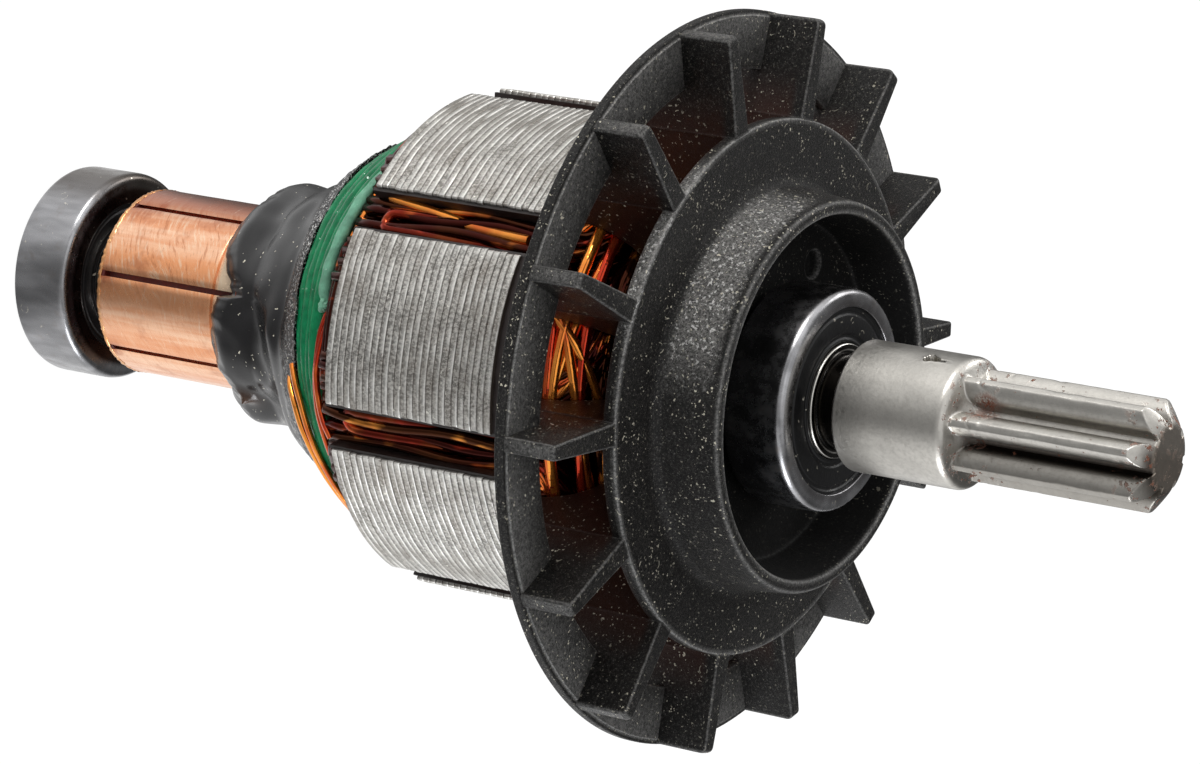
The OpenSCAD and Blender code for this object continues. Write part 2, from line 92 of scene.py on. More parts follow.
def number(name, description, value, least):
    """A whole number."""
    return bpy.props.IntProperty(name=name, description=description, default=value, min=least)


def colour(name, description, value):
    """A colour property."""
    return bpy.props.FloatVectorProperty(
        name=name, description=description, default=value, size=3, min=0.0, max=1.0, subtype="COLOR"
    )


class ArmatureSizes(bpy.types.PropertyGroup):
    """Sizes that a user would change."""

    wire_width: length("Wire", "Diameter of the enamelled wire", 1.0)
    strand_width: length("Lacing strand", "Width of a strand of the green lacing", 1.45)
    ring_edge: length("Ring edge", "Rounding of the bearing rings' edges", 0.8)
    bar_edge: length("Bar edge", "Rounding of the commutator bars' edges", 0.1)
    sheet_line: length("Sheet line", "Depth of the lines between the core's sheets", 0.11)
    moulding_edge: length("Moulding edge", "Rounding of the fan's edges", 0.2)
    sleeve_wall: length("Sleeve wall", "Thickness of the black sleeve", 0.8)
    sheets: number("Sheets", "Number of sheets in the core", 26, 10)
    strands: number("Strands", "Number of lacing strands", 4, 2)


class ArmatureColours(bpy.types.PropertyGroup):
    """Colours of the finishes."""

    ring: colour("Bearing steel", "Ground steel of the bearing rings", (0.43, 0.43, 0.445))
    pinion: colour("Pinion steel", "Satin steel of the pinion", (0.585, 0.565, 0.525))
    rust: colour("Rust", "Rust in the pinion's grooves", (0.20, 0.065, 0.03))
    copper: colour("Bar copper", "Turned copper of the bars", (0.97, 0.61, 0.41))
    # Used both for scorched patches and for the painted shade on the bars' -X side.
    scorch_and_shade: colour("Scorched copper", "Darkened copper", (0.40, 0.13, 0.07))
    hub: colour("Slit moulding", "Moulding in the slits", (0.075, 0.007, 0.005))
    sheet: colour("Core sheet", "Sheets' edges", (0.50, 0.485, 0.455))
    sheet_gap: colour("Core gap", "Brown lines between the sheets", (0.06, 0.046, 0.037))
    fibre: colour("Fibre", "Liners and end discs", (0.014, 0.009, 0.008))
    wire_dark: colour("Wire, dark", "Deep red enamelled wire", (0.55, 0.035, 0.006))
    wire_light: colour("Wire, light", "Orange enamelled wire", (1.0, 0.36, 0.05))
    sleeve: colour("Sleeve", "Black sleeve", (0.006, 0.0056, 0.0062))
    sleeve_stain: colour("Sleeve stain", "Brown at the sleeve's point", (0.10, 0.05, 0.03))
    lacing: colour("Lacing", "Emerald varnish", (0.003, 0.165, 0.062))
    lacing_pale: colour("Pale strand", "Sage strand", (0.15, 0.37, 0.25))
    plastic: colour("Fan plastic", "Black moulding", (0.0085, 0.0078, 0.0073))
    dust: colour("Dust", "Pale dust", (0.84, 0.79, 0.64))
    rubber: colour("Seal rubber", "Seals", (0.004, 0.004, 0.0045))
    floor: colour("Floor", "Floor", (0.86, 0.86, 0.86))


# ---------------------------------------------------------------- outlines and surfaces


def rounded(corners, radii, steps):
    """A closed outline with rounded corners.

    Each corner becomes a quadratic curve. It starts a radius before the corner, is pulled by the
    corner's own point, and ends a radius after it.
    """
    point = np.asarray(corners, float)
    edge = np.broadcast_to(np.asarray(radii, float), len(point))[:, None]
    back, ahead = np.roll(point, 1, 0) - point, np.roll(point, -1, 0) - point
    back_len, ahead_len = (np.linalg.norm(v, axis=1, keepdims=True) for v in (back, ahead))
    start = point + back / back_len * np.minimum(edge, 0.49 * back_len)
    end = point + ahead / ahead_len * np.minimum(edge, 0.49 * ahead_len)
    t = np.linspace(0, 1, steps)[None, :, None]
    curve = (1 - t) ** 2 * start[:, None] + 2 * t * (1 - t) * point[:, None] + t**2 * end[:, None]
    flat = curve.reshape(-1, 2)
    return flat[np.linalg.norm(flat - np.roll(flat, 1, 0), axis=1) > 1e-5]


def refined(outline, spacing):
    """The same closed outline with extra points, so that no two are further apart than the spacing."""
    path = np.vstack([outline, outline[:1]])
    along = np.concatenate([[0], np.cumsum(np.linalg.norm(np.diff(path, axis=0), axis=1))])
    at = np.union1d(along, np.arange(0, along[-1], spacing))
    at = at[np.concatenate([[True], np.diff(at) > spacing * 0.05])]
    points = np.stack([np.interp(at, along, path[:, i]) for i in range(2)], 1)
    if np.linalg.norm(points[-1] - points[0]) < spacing * 0.05:
        points = points[:-1]
    return points


def turned(profile, degrees):
    """Carries each point (r, z) of a profile round the axis: x = r cos a, y = r sin a, z stays."""
    return round_grid(profile[:, :1], degrees, profile[:, 1:])


def round_grid(r, degrees, z):
    """Points at radius r, angle and height z, which broadcast to one grid."""
    a = np.radians(degrees)
    return spread(r * np.cos(a), r * np.sin(a), z)


def spread(*parts):
    """Points whose coordinates are the parts, broadcast to one grid."""
    return np.stack(np.broadcast_arrays(*parts), -1)


def off_axis(points):
    """Unit vectors that point from the shaft's axis towards the points."""
    way = points * (1, 1, 0)
    return way / np.linalg.norm(way, axis=-1, keepdims=True)


def smooth_through(keys, count, rounds):
    """Values at even steps between the keys, each then averaged with its neighbours some rounds."""
    values = np.interp(np.linspace(0, 1, count), np.linspace(0, 1, len(keys)), keys)
    for _ in range(rounds):
        inside = (values[:-2] + 2 * values[1:-1] + values[2:]) / 4
        values = np.concatenate([values[:1], inside, values[-1:]])
    return values


def spun(points, degrees):
    """The points turned about the axis by an angle."""
    a = math.radians(degrees)
    turn = np.array([[math.cos(a), math.sin(a), 0], [-math.sin(a), math.cos(a), 0], [0, 0, 1]])
    return points @ turn


def lattice(rows, cols, wrap_rows=False):
    """Corner numbers of the quads of a grid whose last column joins its first, as rows may too."""
    i = np.arange(rows if wrap_rows else rows - 1)[:, None]
    j = np.arange(cols)[None, :]
    i1, j1 = (i + 1) % rows, (j + 1) % cols
    return np.stack([i * cols + j, i * cols + j1, i1 * cols + j1, i1 * cols + j], -1).reshape(-1, 4)


def volume(points, faces):
    """Six times the volume inside closed faces: the sum of each fan triangle's triple product."""
    total = 0.0
    for block in faces:
        corner = points[block]
        for k in range(1, block.shape[1] - 1):
            total += np.einsum("ij,ij->", corner[:, 0], np.cross(corner[:, k], corner[:, k + 1]))
    return total


def outward(points, faces):
    """The faces, turned over where they would enclose a negative volume."""
    return faces if volume(points, faces) > 0 else [block[:, ::-1] for block in faces]


def shell(grid, wrap_rows=False):
    """A closed surface from a grid whose columns wrap: its open ends get one flat face each."""
    rows, cols = grid.shape[:2]
    points = grid.reshape(-1, 3)
    faces = [lattice(rows, cols, wrap_rows)]
    if not wrap_rows:
        faces += [np.arange(cols)[None, ::-1], (rows - 1) * cols + np.arange(cols)[None, :]]
    return points, outward(points, faces)


def tubes(paths, radius, side, sides, closed=False, stretch=1.0):
    """Carries a circle along each of several paths with the same number of points.

    The circle's two axes are the cross product of the path's direction with a side direction, and
    the cross product of that with the path's direction, which may be stretched.
    """
    if closed:
        ahead = np.roll(paths, -1, 1) - np.roll(paths, 1, 1)
    else:
        ahead = np.gradient(paths, axis=1)
    ahead /= np.linalg.norm(ahead, axis=-1, keepdims=True)
    first = np.cross(ahead, np.broadcast_to(side, paths.shape))
    first /= np.linalg.norm(first, axis=-1, keepdims=True)
    second = np.cross(first, ahead)
    a = np.linspace(0, 2 * np.pi, sides, endpoint=False)[:, None]
    radius = np.broadcast_to(radius, paths.shape[:2])[..., None, None]
    ring = first[..., None, :] * np.cos(a) + second[..., None, :] * np.sin(a) * stretch
    grid = paths[..., None, :] + radius * ring
    count, rows = paths.shape[:2]
    one = shell(grid[0], wrap_rows=closed)[1]
    step = rows * sides * np.arange(count)[:, None, None]
    faces = [(block[None] + step).reshape(-1, block.shape[1]) for block in one]
    return grid.reshape(-1, 3), faces


def joined(shells):
    """One list of points and faces from several shells."""
    start = np.cumsum([0] + [len(points) for points, _ in shells])
    points = np.vstack([points for points, _ in shells])
    return points, [block + offset for (_, faces), offset in zip(shells, start) for block in faces]


def smoothstep(t):
    """0 below 0, 1 above 1, and 3 t squared less 2 t cubed between."""
    t = np.clip(t, 0, 1)
    return t * t * (3 - 2 * t)


def soft_min(a, b, k):
    """The lesser of two surfaces, with a fillet of about k where they meet."""
    h = np.clip(0.5 + 0.5 * (b - a) / k, 0, 1)
    return b * (1 - h) + a * h - k * h * (1 - h)


def soft_max(a, b, k):
    """The greater of two surfaces, with a fillet of about k where they meet."""
    return -soft_min(-a, -b, k)


def bump(x, middle, width):
    """A bell curve of height 1: e to the minus square of the distance in widths."""
    return np.exp(-(((x - middle) / width) ** 2))


def turn_from(degrees, middle):
    """Signed angle from a middle angle, from -180 to 180."""
    return (degrees - middle + 180) % 360 - 180


def waves(points, seed, shortest, longest, count=28):
    """Smooth unevenness of about -1 to 1: a sum of sine waves of random direction and length."""
    rng = np.random.default_rng(seed)
    way = rng.normal(size=(count, points.shape[-1]))
    way /= np.linalg.norm(way, axis=1, keepdims=True)
    way *= 2 * np.pi / rng.uniform(shortest, longest, (count, 1))
    return np.sin(points @ way.T + rng.uniform(0, 2 * np.pi, count)).sum(-1) * math.sqrt(2 / count) / 1.6


def make_piece(name, shells, material, body="armature", stands_for=(), sharp=38, marks=None):
    """Puts shells, in millimetres, into one mesh in metres with its material, and ties it to its body.

    marks holds a value for each point, which the material reads as an attribute of that name.
    """
    points, faces = joined(shells)
    mesh = bpy.data.meshes.new(name)
    sizes = np.concatenate([np.full(len(block), block.shape[1]) for block in faces])
    mesh.vertices.add(len(points))
    mesh.vertices.foreach_set("co", (points * MM).astype(np.float32).ravel())
    mesh.loops.add(int(sizes.sum()))
    corners = np.concatenate([block.ravel() for block in faces]).astype(np.int32)
    mesh.loops.foreach_set("vertex_index", corners)
    mesh.polygons.add(len(sizes))
    starts = np.concatenate([[0], np.cumsum(sizes)[:-1]])
    mesh.polygons.foreach_set("loop_start", starts.astype(np.int32))
    mesh.update(calc_edges=True)
    if mesh.validate():
        raise RuntimeError(f"{name}: its mesh had faults")
    mesh.shade_smooth()
    mesh.set_sharp_from_angle(angle=math.radians(sharp))
    for mark, values in (marks or {}).items():
        layer = mesh.attributes.new(mark, "FLOAT", "POINT")
        layer.data.foreach_set("value", np.asarray(values, np.float32).ravel())
    mesh.materials.append(material)
    piece = bpy.data.objects.new(name, mesh)
    bpy.context.scene.collection.objects.link(piece)
    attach(piece, body)
    if stands_for:
        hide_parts(*stands_for)
    return piece


def weight_normals(piece):
    """Lets large faces stay flat beside small rounded edges."""
    finish = piece.modifiers.new("Flat faces", "WEIGHTED_NORMAL")
    finish.mode = "FACE_AREA"
    finish.weight = 60
    finish.keep_sharp = True


# ---------------------------------------------------------------- finishes


def put(tree, kind, sockets=None, **settings):
    """Adds one node. Each socket takes a value or another node's output."""
    node = tree.nodes.new(kind)
    for key, value in settings.items():
        setattr(node, key, value)
    for key, value in (sockets or {}).items():
        if isinstance(value, bpy.types.NodeSocket):
            tree.links.new(value, node.inputs[key])
        else:
            node.inputs[key].default_value = value
    return node


def maths(tree, kind, a, b=0.0, clamp=False):
    """The output of one Math node."""
    return put(tree, "ShaderNodeMath", {0: a, 1: b}, operation=kind, use_clamp=clamp).outputs[0]


def times(tree, a, b, clamp=False):
    """The product of two values."""
    return maths(tree, "MULTIPLY", a, b, clamp)


def plus(tree, a, b):
    """The sum of two values."""
    return maths(tree, "ADD", a, b)


def near_to(tree, value, middle, reach):
    """1 where a value lies within a reach of a middle, and 0 elsewhere."""
    node = maths(tree, "COMPARE", value, middle)
    node.node.inputs[2].default_value = reach
    return node


def vector_maths(tree, kind, a, b=(0.0, 0.0, 0.0)):
    """The vector from one Vector Math node."""
    return put(tree, "ShaderNodeVectorMath", {0: a, 1: b}, operation=kind).outputs[0]


def reading(tree, kind, a, b):
    """The value from one Vector Math node, such as a distance or a dot product."""
    return put(tree, "ShaderNodeVectorMath", {0: a, 1: b}, operation=kind).outputs["Value"]


def ranged(tree, value, low, high, to_low=0.0, to_high=1.0, soft=True):
    """A value carried from one range to another."""
    return put(
        tree,
        "ShaderNodeMapRange",
        {"Value": value, "From Min": low, "From Max": high, "To Min": to_low, "To Max": to_high},
        interpolation_type="SMOOTHSTEP" if soft else "LINEAR",
    ).outputs["Result"]


def blend_colour(tree, factor, a, b):
    """The output of one colour Mix node."""
    return put(tree, "ShaderNodeMix", {0: factor, 6: a, 7: b}, data_type="RGBA").outputs[2]


def shaded(tree, factor, colour, low, high):
    """A colour's brightness, carried from one gain to another as a factor goes from 0 to 1."""
    return blend_colour(tree, factor, rgba(colour, low), rgba(colour, high))


def axis_parts(tree, vector):
    """The X, Y and Z of a vector."""
    return put(tree, "ShaderNodeSeparateXYZ", {"Vector": vector}).outputs


def over(tree, under, mask, colour, share=None):
    """A colour laid over another where a mask is white, at a share of the mask's strength."""
    if share is not None:
        mask = times(tree, mask, share)
    return blend_colour(tree, mask, under, rgba(colour))


def rgba(value, gain=1.0):
    """A colour property as the four numbers of a colour socket."""
    return (*(min(1.0, c * gain) for c in value), 1.0)


def object_coordinates(tree):
    """The place on the object, in metres."""
    return put(tree, "ShaderNodeTexCoord").outputs["Object"]


def noise(tree, vector, scale, detail, rough=0.5, stretch=None):
    """The value of one Noise Texture, with its space stretched where asked."""
    if stretch:
        vector = vector_maths(tree, "MULTIPLY", vector, stretch)
    return put(
        tree, "ShaderNodeTexNoise", {"Vector": vector, "Scale": scale, "Detail": detail, "Roughness": rough}
    ).outputs["Fac"]


def new_group(name, inputs, outputs):
    """An empty shader node group with named sockets."""
    tree = bpy.data.node_groups.new(name, "ShaderNodeTree")
    for label, kind, value in inputs:
        socket = tree.interface.new_socket(label, in_out="INPUT", socket_type=kind)
        if value is not None:
            socket.default_value = value
    for label, kind in outputs:
        tree.interface.new_socket(label, in_out="OUTPUT", socket_type=kind)
    return tree, tree.nodes.new("NodeGroupInput").outputs, tree.nodes.new("NodeGroupOutput").inputs


def dust_group():
    """Dust: pale specks of mixed size, and a few short fibres, as one mask."""
    tree, given, result = new_group(
        "Dust",
        [
            ("Vector", "NodeSocketVector", None),
            ("Scale", "NodeSocketFloat", 2500.0),
            ("Amount", "NodeSocketFloat", 0.1),
            ("Fibres", "NodeSocketFloat", 0.0),
        ],
        [("Mask", "NodeSocketFloat")],
    )
    bend = put(tree, "ShaderNodeTexNoise", {"Vector": given["Vector"], "Scale": given["Scale"]}).outputs
    off = vector_maths(tree, "SUBTRACT", bend["Color"], (0.5, 0.5, 0.5))
    reach = maths(tree, "DIVIDE", 1.8, given["Scale"])
    off = put(tree, "ShaderNodeVectorMath", {0: off, 3: reach}, operation="SCALE").outputs[0]
    bent = vector_maths(tree, "ADD", given["Vector"], off)
    cell = put(tree, "ShaderNodeTexVoronoi", {"Vector": bent, "Scale": given["Scale"]})
    seed = put(tree, "ShaderNodeSeparateColor", {"Color": cell.outputs["Color"]}).outputs
    radius = ranged(tree, seed["Green"], 0.0, 1.0, 0.08, 0.36, soft=False)
    inside = maths(tree, "LESS_THAN", cell.outputs["Distance"], radius)
    chosen = maths(tree, "LESS_THAN", seed["Red"], given["Amount"])
    specks = times(tree, inside, chosen)
    third = times(tree, given["Scale"], 0.3)
    loop = put(tree, "ShaderNodeTexVoronoi", {"Vector": given["Vector"], "Scale": third})
    off_ring = maths(tree, "ABSOLUTE", maths(tree, "SUBTRACT", loop.outputs["Distance"], 0.33))
    thin = maths(tree, "LESS_THAN", off_ring, 0.02)
    picked = put(tree, "ShaderNodeSeparateColor", {"Color": loop.outputs["Color"]}).outputs["Blue"]
    few = maths(tree, "LESS_THAN", picked, given["Fibres"])
    short = maths(tree, "GREATER_THAN", bend["Fac"], 0.56)
    fibres = times(tree, times(tree, thin, few), short)
    tree.links.new(maths(tree, "MAXIMUM", specks, fibres), result["Mask"])
    return tree


def round_group():
    """Round the shaft: the angle, the radius and the height of a place."""
    tree, given, result = new_group(
        "Round the shaft",
        [("Vector", "NodeSocketVector", None)],
        [("Turn", "NodeSocketFloat"), ("Radius", "NodeSocketFloat"), ("Height", "NodeSocketFloat")],
    )
    part = axis_parts(tree, given["Vector"])
    square = plus(tree, maths(tree, "POWER", part["X"], 2.0), maths(tree, "POWER", part["Y"], 2.0))
    tree.links.new(maths(tree, "ARCTAN2", part["Y"], part["X"]), result["Turn"])
    tree.links.new(maths(tree, "SQRT", square), result["Radius"])
    tree.links.new(part["Z"], result["Height"])
    return tree


def turning_group():
    """Turning lines: fine grooves round the shaft that break up slowly as they go round."""
    tree, given, result = new_group(
        "Turning lines",
        [
            ("Vector", "NodeSocketVector", None),
            ("Lines", "NodeSocketFloat", 4000.0),
            ("Length", "NodeSocketFloat", 3.0),
        ],
        [("Height", "NodeSocketFloat")],
    )
    place = use_group(tree, "Round the shaft", Vector=given["Vector"])
    rise = times(tree, plus(tree, place["Height"], place["Radius"]), given["Lines"])
    turn = times(tree, place["Turn"], given["Length"])
    flat = put(tree, "ShaderNodeCombineXYZ", {"X": rise, "Y": turn, "Z": 0.0}).outputs[0]
    tree.links.new(noise(tree, flat, 1.0, 3.0, 0.6), result["Height"])
    return tree


def use_group(tree, name, **sockets):
    """The outputs of a placed node group."""
    return put(tree, "ShaderNodeGroup", sockets, node_tree=bpy.data.node_groups[name]).outputs


def dust_mask(tree, vector, scale, amount, fibres=0.0):
    """Where dust lies: this share of the cells holds a speck, and this share a fibre."""
    return use_group(tree, "Dust", Vector=vector, Scale=scale, Amount=amount, Fibres=fibres)["Mask"]


def new_finish(name, **plain):
    """A material with its Principled shader, whose plain values are given."""
    material = bpy.data.materials.new(name)
    material.use_nodes = True
    tree = material.node_tree
    shader = tree.nodes["Principled BSDF"]
    for key, value in plain.items():
        shader.inputs[key.replace("_", " ")].default_value = value
    return material, tree, shader.inputs


def raise_by(tree, sockets, height, distance, strength=1.0):
    """Feeds a height through a Bump node into the shader's normal."""
    node = put(tree, "ShaderNodeBump", {"Height": height, "Distance": distance, "Strength": strength})
    tree.links.new(node.outputs["Normal"], sockets["Normal"])


def mark_value(tree, name):
    """A value that the piece's points carry."""
    return put(tree, "ShaderNodeAttribute", attribute_name=name, attribute_type="GEOMETRY").outputs["Fac"]


def steel_finish(name, base, rough, line, tint, neck=None):
    """Ground steel: grooves round the shaft, soft stains and dark specks.

    Above the neck's height it is painted black as a dark reflection, apart from two rings at given radii
    where the plain steel stays as painted highlight lines.
    """
    material, tree, sockets = new_finish(name, Metallic=1.0)
    here = object_coordinates(tree)
    grooves = use_group(tree, "Turning lines", Vector=here, Lines=9000.0, Length=2.0)["Height"]
    stain = ranged(tree, noise(tree, here, 260.0, 4.0, 0.6), 0.35, 0.68)
    specks = dust_mask(tree, here, 3600.0, 0.05)
    base_colour = blend_colour(tree, times(tree, stain, tint), rgba(base), rgba((0.30, 0.21, 0.15)))
    streaky = blend_colour(tree, ranged(tree, grooves, 0.3, 0.7, 0.0, 0.4), base_colour, rgba(base, 0.55))
    shown = over(tree, streaky, specks, (0.06, 0.045, 0.04), 0.6)
    if neck:
        around = use_group(tree, "Round the shaft", Vector=here)
        # Painted dark reflection above the neck, with two rings left bright as painted highlights.
        painted_darkening = ranged(tree, around["Height"], neck, neck + 0.0002)
        for at in (0.00486, 0.00437):
            ring = near_to(tree, around["Radius"], at, 0.00006)
            painted_darkening = maths(tree, "SUBTRACT", painted_darkening, ring, clamp=True)
        shown = over(tree, shown, painted_darkening, (0.022, 0.019, 0.016))
    tree.links.new(shown, sockets["Base Color"])
    uneven = ranged(tree, stain, 0.0, 1.0, rough, rough + 0.16)
    tree.links.new(uneven, sockets["Roughness"])
    raise_by(tree, sockets, grooves, line)
    return material


def ring_finish(name, base, lip, oil_and_shade):
    """A bearing ring: smoky ground steel, its upper side towards -X darkened as painted shade, and brown
    oil by the seal.
    """
    material, tree, sockets = new_finish(name, Metallic=1.0)
    here = object_coordinates(tree)
    around = use_group(tree, "Round the shaft", Vector=here)
    grooves = use_group(tree, "Turning lines", Vector=here, Lines=6000.0, Length=1.2)["Height"]
    smoke = noise(tree, here, 330.0, 3.0, 0.6, stretch=(1.0, 1.0, 0.25))
    blots = noise(tree, here, 700.0, 5.0, 0.7)
    shown = shaded(tree, ranged(tree, smoke, 0.34, 0.66), base, 1.12, 0.6)
    shown = over(tree, shown, ranged(tree, blots, 0.55, 0.8, 0.0, 0.55), (0.21, 0.165, 0.13))
    # Painted shade: the ring is darker towards -X.
    upper = axis_parts(tree, here)["X"]
    shown = over(tree, shown, ranged(tree, upper, -0.0090, -0.0044, oil_and_shade, 0.0), (0.075, 0.062, 0.052))
    by_seal = ranged(tree, around["Radius"], lip + 0.0003, lip + 0.0009, oil_and_shade, 0.0)
    shown = over(tree, shown, by_seal, (0.03, 0.014, 0.009))
    specks = dust_mask(tree, here, 2600.0, 0.03, 0.04)
    shown = over(tree, shown, specks, (0.80, 0.76, 0.66), 0.7)
    tree.links.new(shown, sockets["Base Color"])
    tree.links.new(ranged(tree, blots, 0.3, 0.75, 0.2, 0.36), sockets["Roughness"])
    raise_by(tree, sockets, grooves, 0.000006)
    return material


def pinion_finish(colours):
    """Satin steel with fine grain, grooves darkened by oil and painted shade, a flank darkened as painted
    shade, and rust where the grooves start and end.
    """
    material, tree, sockets = new_finish("Pinion steel", Metallic=1.0)
    here = object_coordinates(tree)
    around = use_group(tree, "Round the shaft", Vector=here)
    grain = noise(tree, here, 2600.0, 4.0, 0.65)
    soft = noise(tree, here, 420.0, 3.0, 0.6)
    low_place = ranged(tree, around["Radius"], 0.0030, 0.0043, 1.0, 0.0)
    past_shoulder = ranged(tree, around["Height"], 0.0950, 0.0956)
    groove = times(tree, low_place, past_shoulder)
    near_start = ranged(tree, around["Height"], 0.0952, 0.1010, 1.0, 0.0)
    near_end = ranged(tree, around["Height"], 0.1095, 0.1128)
    zone = times(tree, maths(tree, "MAXIMUM", near_start, near_end), past_shoulder)
    clumps = ranged(tree, noise(tree, here, 1150.0, 5.0, 0.7), 0.56, 0.63)
    rust = times(tree, clumps, times(tree, zone, 0.9))
    stray = times(tree, ranged(tree, noise(tree, here, 1500.0, 4.0, 0.7), 0.66, 0.69), past_shoulder)
    spot = reading(tree, "DISTANCE", here, (-0.0014, -0.0034, 0.0979))
    ragged = ranged(tree, noise(tree, here, 2600.0, 3.0, 0.7), 0.4, 0.55)
    spot = times(tree, ranged(tree, spot, 0.0006, 0.0017, 1.0, 0.0), ragged)
    rust = maths(tree, "MAXIMUM", maths(tree, "MAXIMUM", rust, stray), spot, clamp=True)
    plain = shaded(tree, ranged(tree, soft, 0.3, 0.7), colours.pinion, 1.0, 0.87)
    plain = blend_colour(tree, ranged(tree, grain, 0.42, 0.7, 0.0, 0.35), plain, rgba(colours.pinion, 0.6))
    across = axis_parts(tree, here)["X"]
    # The grooves' darkening is oil and painted shade, stronger towards +X.
    groove = times(tree, groove, ranged(tree, across, -0.0012, 0.0004, 0.35, 0.93))
    painted_darkening = over(tree, plain, groove, (0.045, 0.035, 0.028))
    # Painted shade: the flank towards +X is darker.
    lower_flank = times(tree, ranged(tree, across, 0.0016, 0.0026, 0.0, 0.5), past_shoulder)
    painted_darkening = over(tree, painted_darkening, lower_flank, (0.16, 0.145, 0.125))
    nose = times(tree, ranged(tree, around["Height"], 0.1133, 0.11348), 0.7)
    rust = times(tree, rust, ranged(tree, nose, 0.0, 0.8, 1.0, 0.25))
    painted_darkening = over(tree, painted_darkening, nose, (0.36, 0.31, 0.26))
    tree.links.new(blend_colour(tree, rust, painted_darkening, rgba(colours.rust)), sockets["Base Color"])
    tree.links.new(ranged(tree, rust, 0.0, 1.0, 1.0, 0.0), sockets["Metallic"])
    satin = ranged(tree, grain, 0.2, 0.8, 0.28, 0.42)
    tree.links.new(plus(tree, satin, times(tree, rust, 0.45)), sockets["Roughness"])
    height = plus(tree, times(tree, grain, 0.35), rust)
    raise_by(tree, sockets, height, 0.00004)
    return material


def copper_finish(colours):
    """Turned copper: fine lines round the bars, bands along them, darkened patches and a red step, with
    painted shade and highlight: a darker side towards -X, a deeper orange towards -Y, and scratches
    stronger towards -X.
    """
    material, tree, sockets = new_finish("Bar copper", Metallic=1.0)
    here = object_coordinates(tree)
    around = use_group(tree, "Round the shaft", Vector=here)
    lines = use_group(tree, "Turning lines", Vector=here, Lines=4600.0, Length=4.0)["Height"]
    bands = noise(tree, here, 520.0, 3.0, 0.65, stretch=(1.0, 1.0, 0.07))
    patches = noise(tree, here, 300.0, 5.0, 0.66)
    part = axis_parts(tree, here)
    # Painted shade: the bars are darker towards -X, in the scorched colour.
    painted_top_shade = ranged(tree, part["X"], -0.0079, -0.0046, 0.95, 0.0)
    dark = plus(tree, ranged(tree, patches, 0.52, 0.72, 0.0, 0.45), painted_top_shade)
    dark = plus(tree, dark, mark_value(tree, "by_slit"))
    base = over(tree, rgba(colours.copper), ranged(tree, bands, 0.38, 0.62), (0.84, 0.39, 0.21))
    # Painted shade: the side towards -Y is a deeper, darker orange.
    front = ranged(tree, part["Y"], -0.0076, -0.0083, 0.0, 0.75)
    base = over(tree, base, front, (0.97, 0.42, 0.19))
    lean = reading(tree, "DOT_PRODUCT", here, (-1500.0, 0.0, 2900.0))
    along = reading(tree, "DOT_PRODUCT", here, (420.0, 100.0, 220.0))
    lean = plus(tree, lean, ranged(tree, noise(tree, here, 150.0, 1.0), 0.0, 1.0, 0.0, 9.0, soft=False))
    swirl = put(tree, "ShaderNodeCombineXYZ", {"X": lean, "Y": along, "Z": 0.0}).outputs[0]
    scratch = noise(tree, swirl, 1.0, 3.0, 0.65)
    # The scratches are drawn stronger towards -X, where the highlight falls: painted highlight on real
    # scratches.
    scratch_highlight_side = ranged(tree, part["X"], -0.0005, 0.0015, 0.6, 0.2)
    light = times(tree, ranged(tree, scratch, 0.53, 0.66), scratch_highlight_side)
    base = over(tree, base, light, (1.0, 0.76, 0.55))
    dull = times(tree, ranged(tree, scratch, 0.46, 0.34), scratch_highlight_side)
    base = over(tree, base, dull, (0.52, 0.19, 0.085))
    base = over(tree, base, maths(tree, "MINIMUM", dark, 0.94), colours.scorch_and_shade)
    base = over(tree, base, ranged(tree, lines, 0.60, 0.74, 0.0, 0.5), (1.0, 0.80, 0.62))
    base = over(tree, base, ranged(tree, lines, 0.36, 0.22, 0.0, 0.6), (0.36, 0.12, 0.06))
    end = times(tree, mark_value(tree, "burr"), 0.6)
    base = over(tree, base, end, (0.62, 0.33, 0.13))
    step = near_to(tree, around["Height"], 0.02205, 0.00011)
    base = over(tree, base, step, (0.75, 0.22, 0.07), 0.75)
    riser = ranged(tree, around["Height"], 0.0226, 0.0232)
    base = over(tree, base, riser, (0.60, 0.50, 0.36), 0.85)
    tree.links.new(base, sockets["Base Color"])
    tree.links.new(ranged(tree, patches, 0.35, 0.7, 0.2, 0.36), sockets["Roughness"])
    tree.links.new(ranged(tree, riser, 0.0, 1.0, 1.0, 0.2), sockets["Metallic"])
    raise_by(tree, sockets, lines, 0.000018)
    return material


def matt_finish(name, base, rough, scale, distance, gain, amount):
    """A dull moulded or fibrous surface: uneven colour, fine relief and a little dust."""
    material, tree, sockets = new_finish(name)
    here = object_coordinates(tree)
    cloud = noise(tree, here, scale, 4.0, 0.6)
    shown = blend_colour(tree, cloud, rgba(base, 1 / gain), rgba(base, gain))
    dust = dust_mask(tree, here, 2600.0, amount, amount * 1.5)
    shown = over(tree, shown, dust, (0.45, 0.42, 0.35), 0.7)
    tree.links.new(shown, sockets["Base Color"])
    tree.links.new(ranged(tree, cloud, 0.3, 0.7, rough - 0.07, rough + 0.1), sockets["Roughness"])
    raise_by(tree, sockets, noise(tree, here, scale * 5, 3.0, 0.6), distance)
    return material


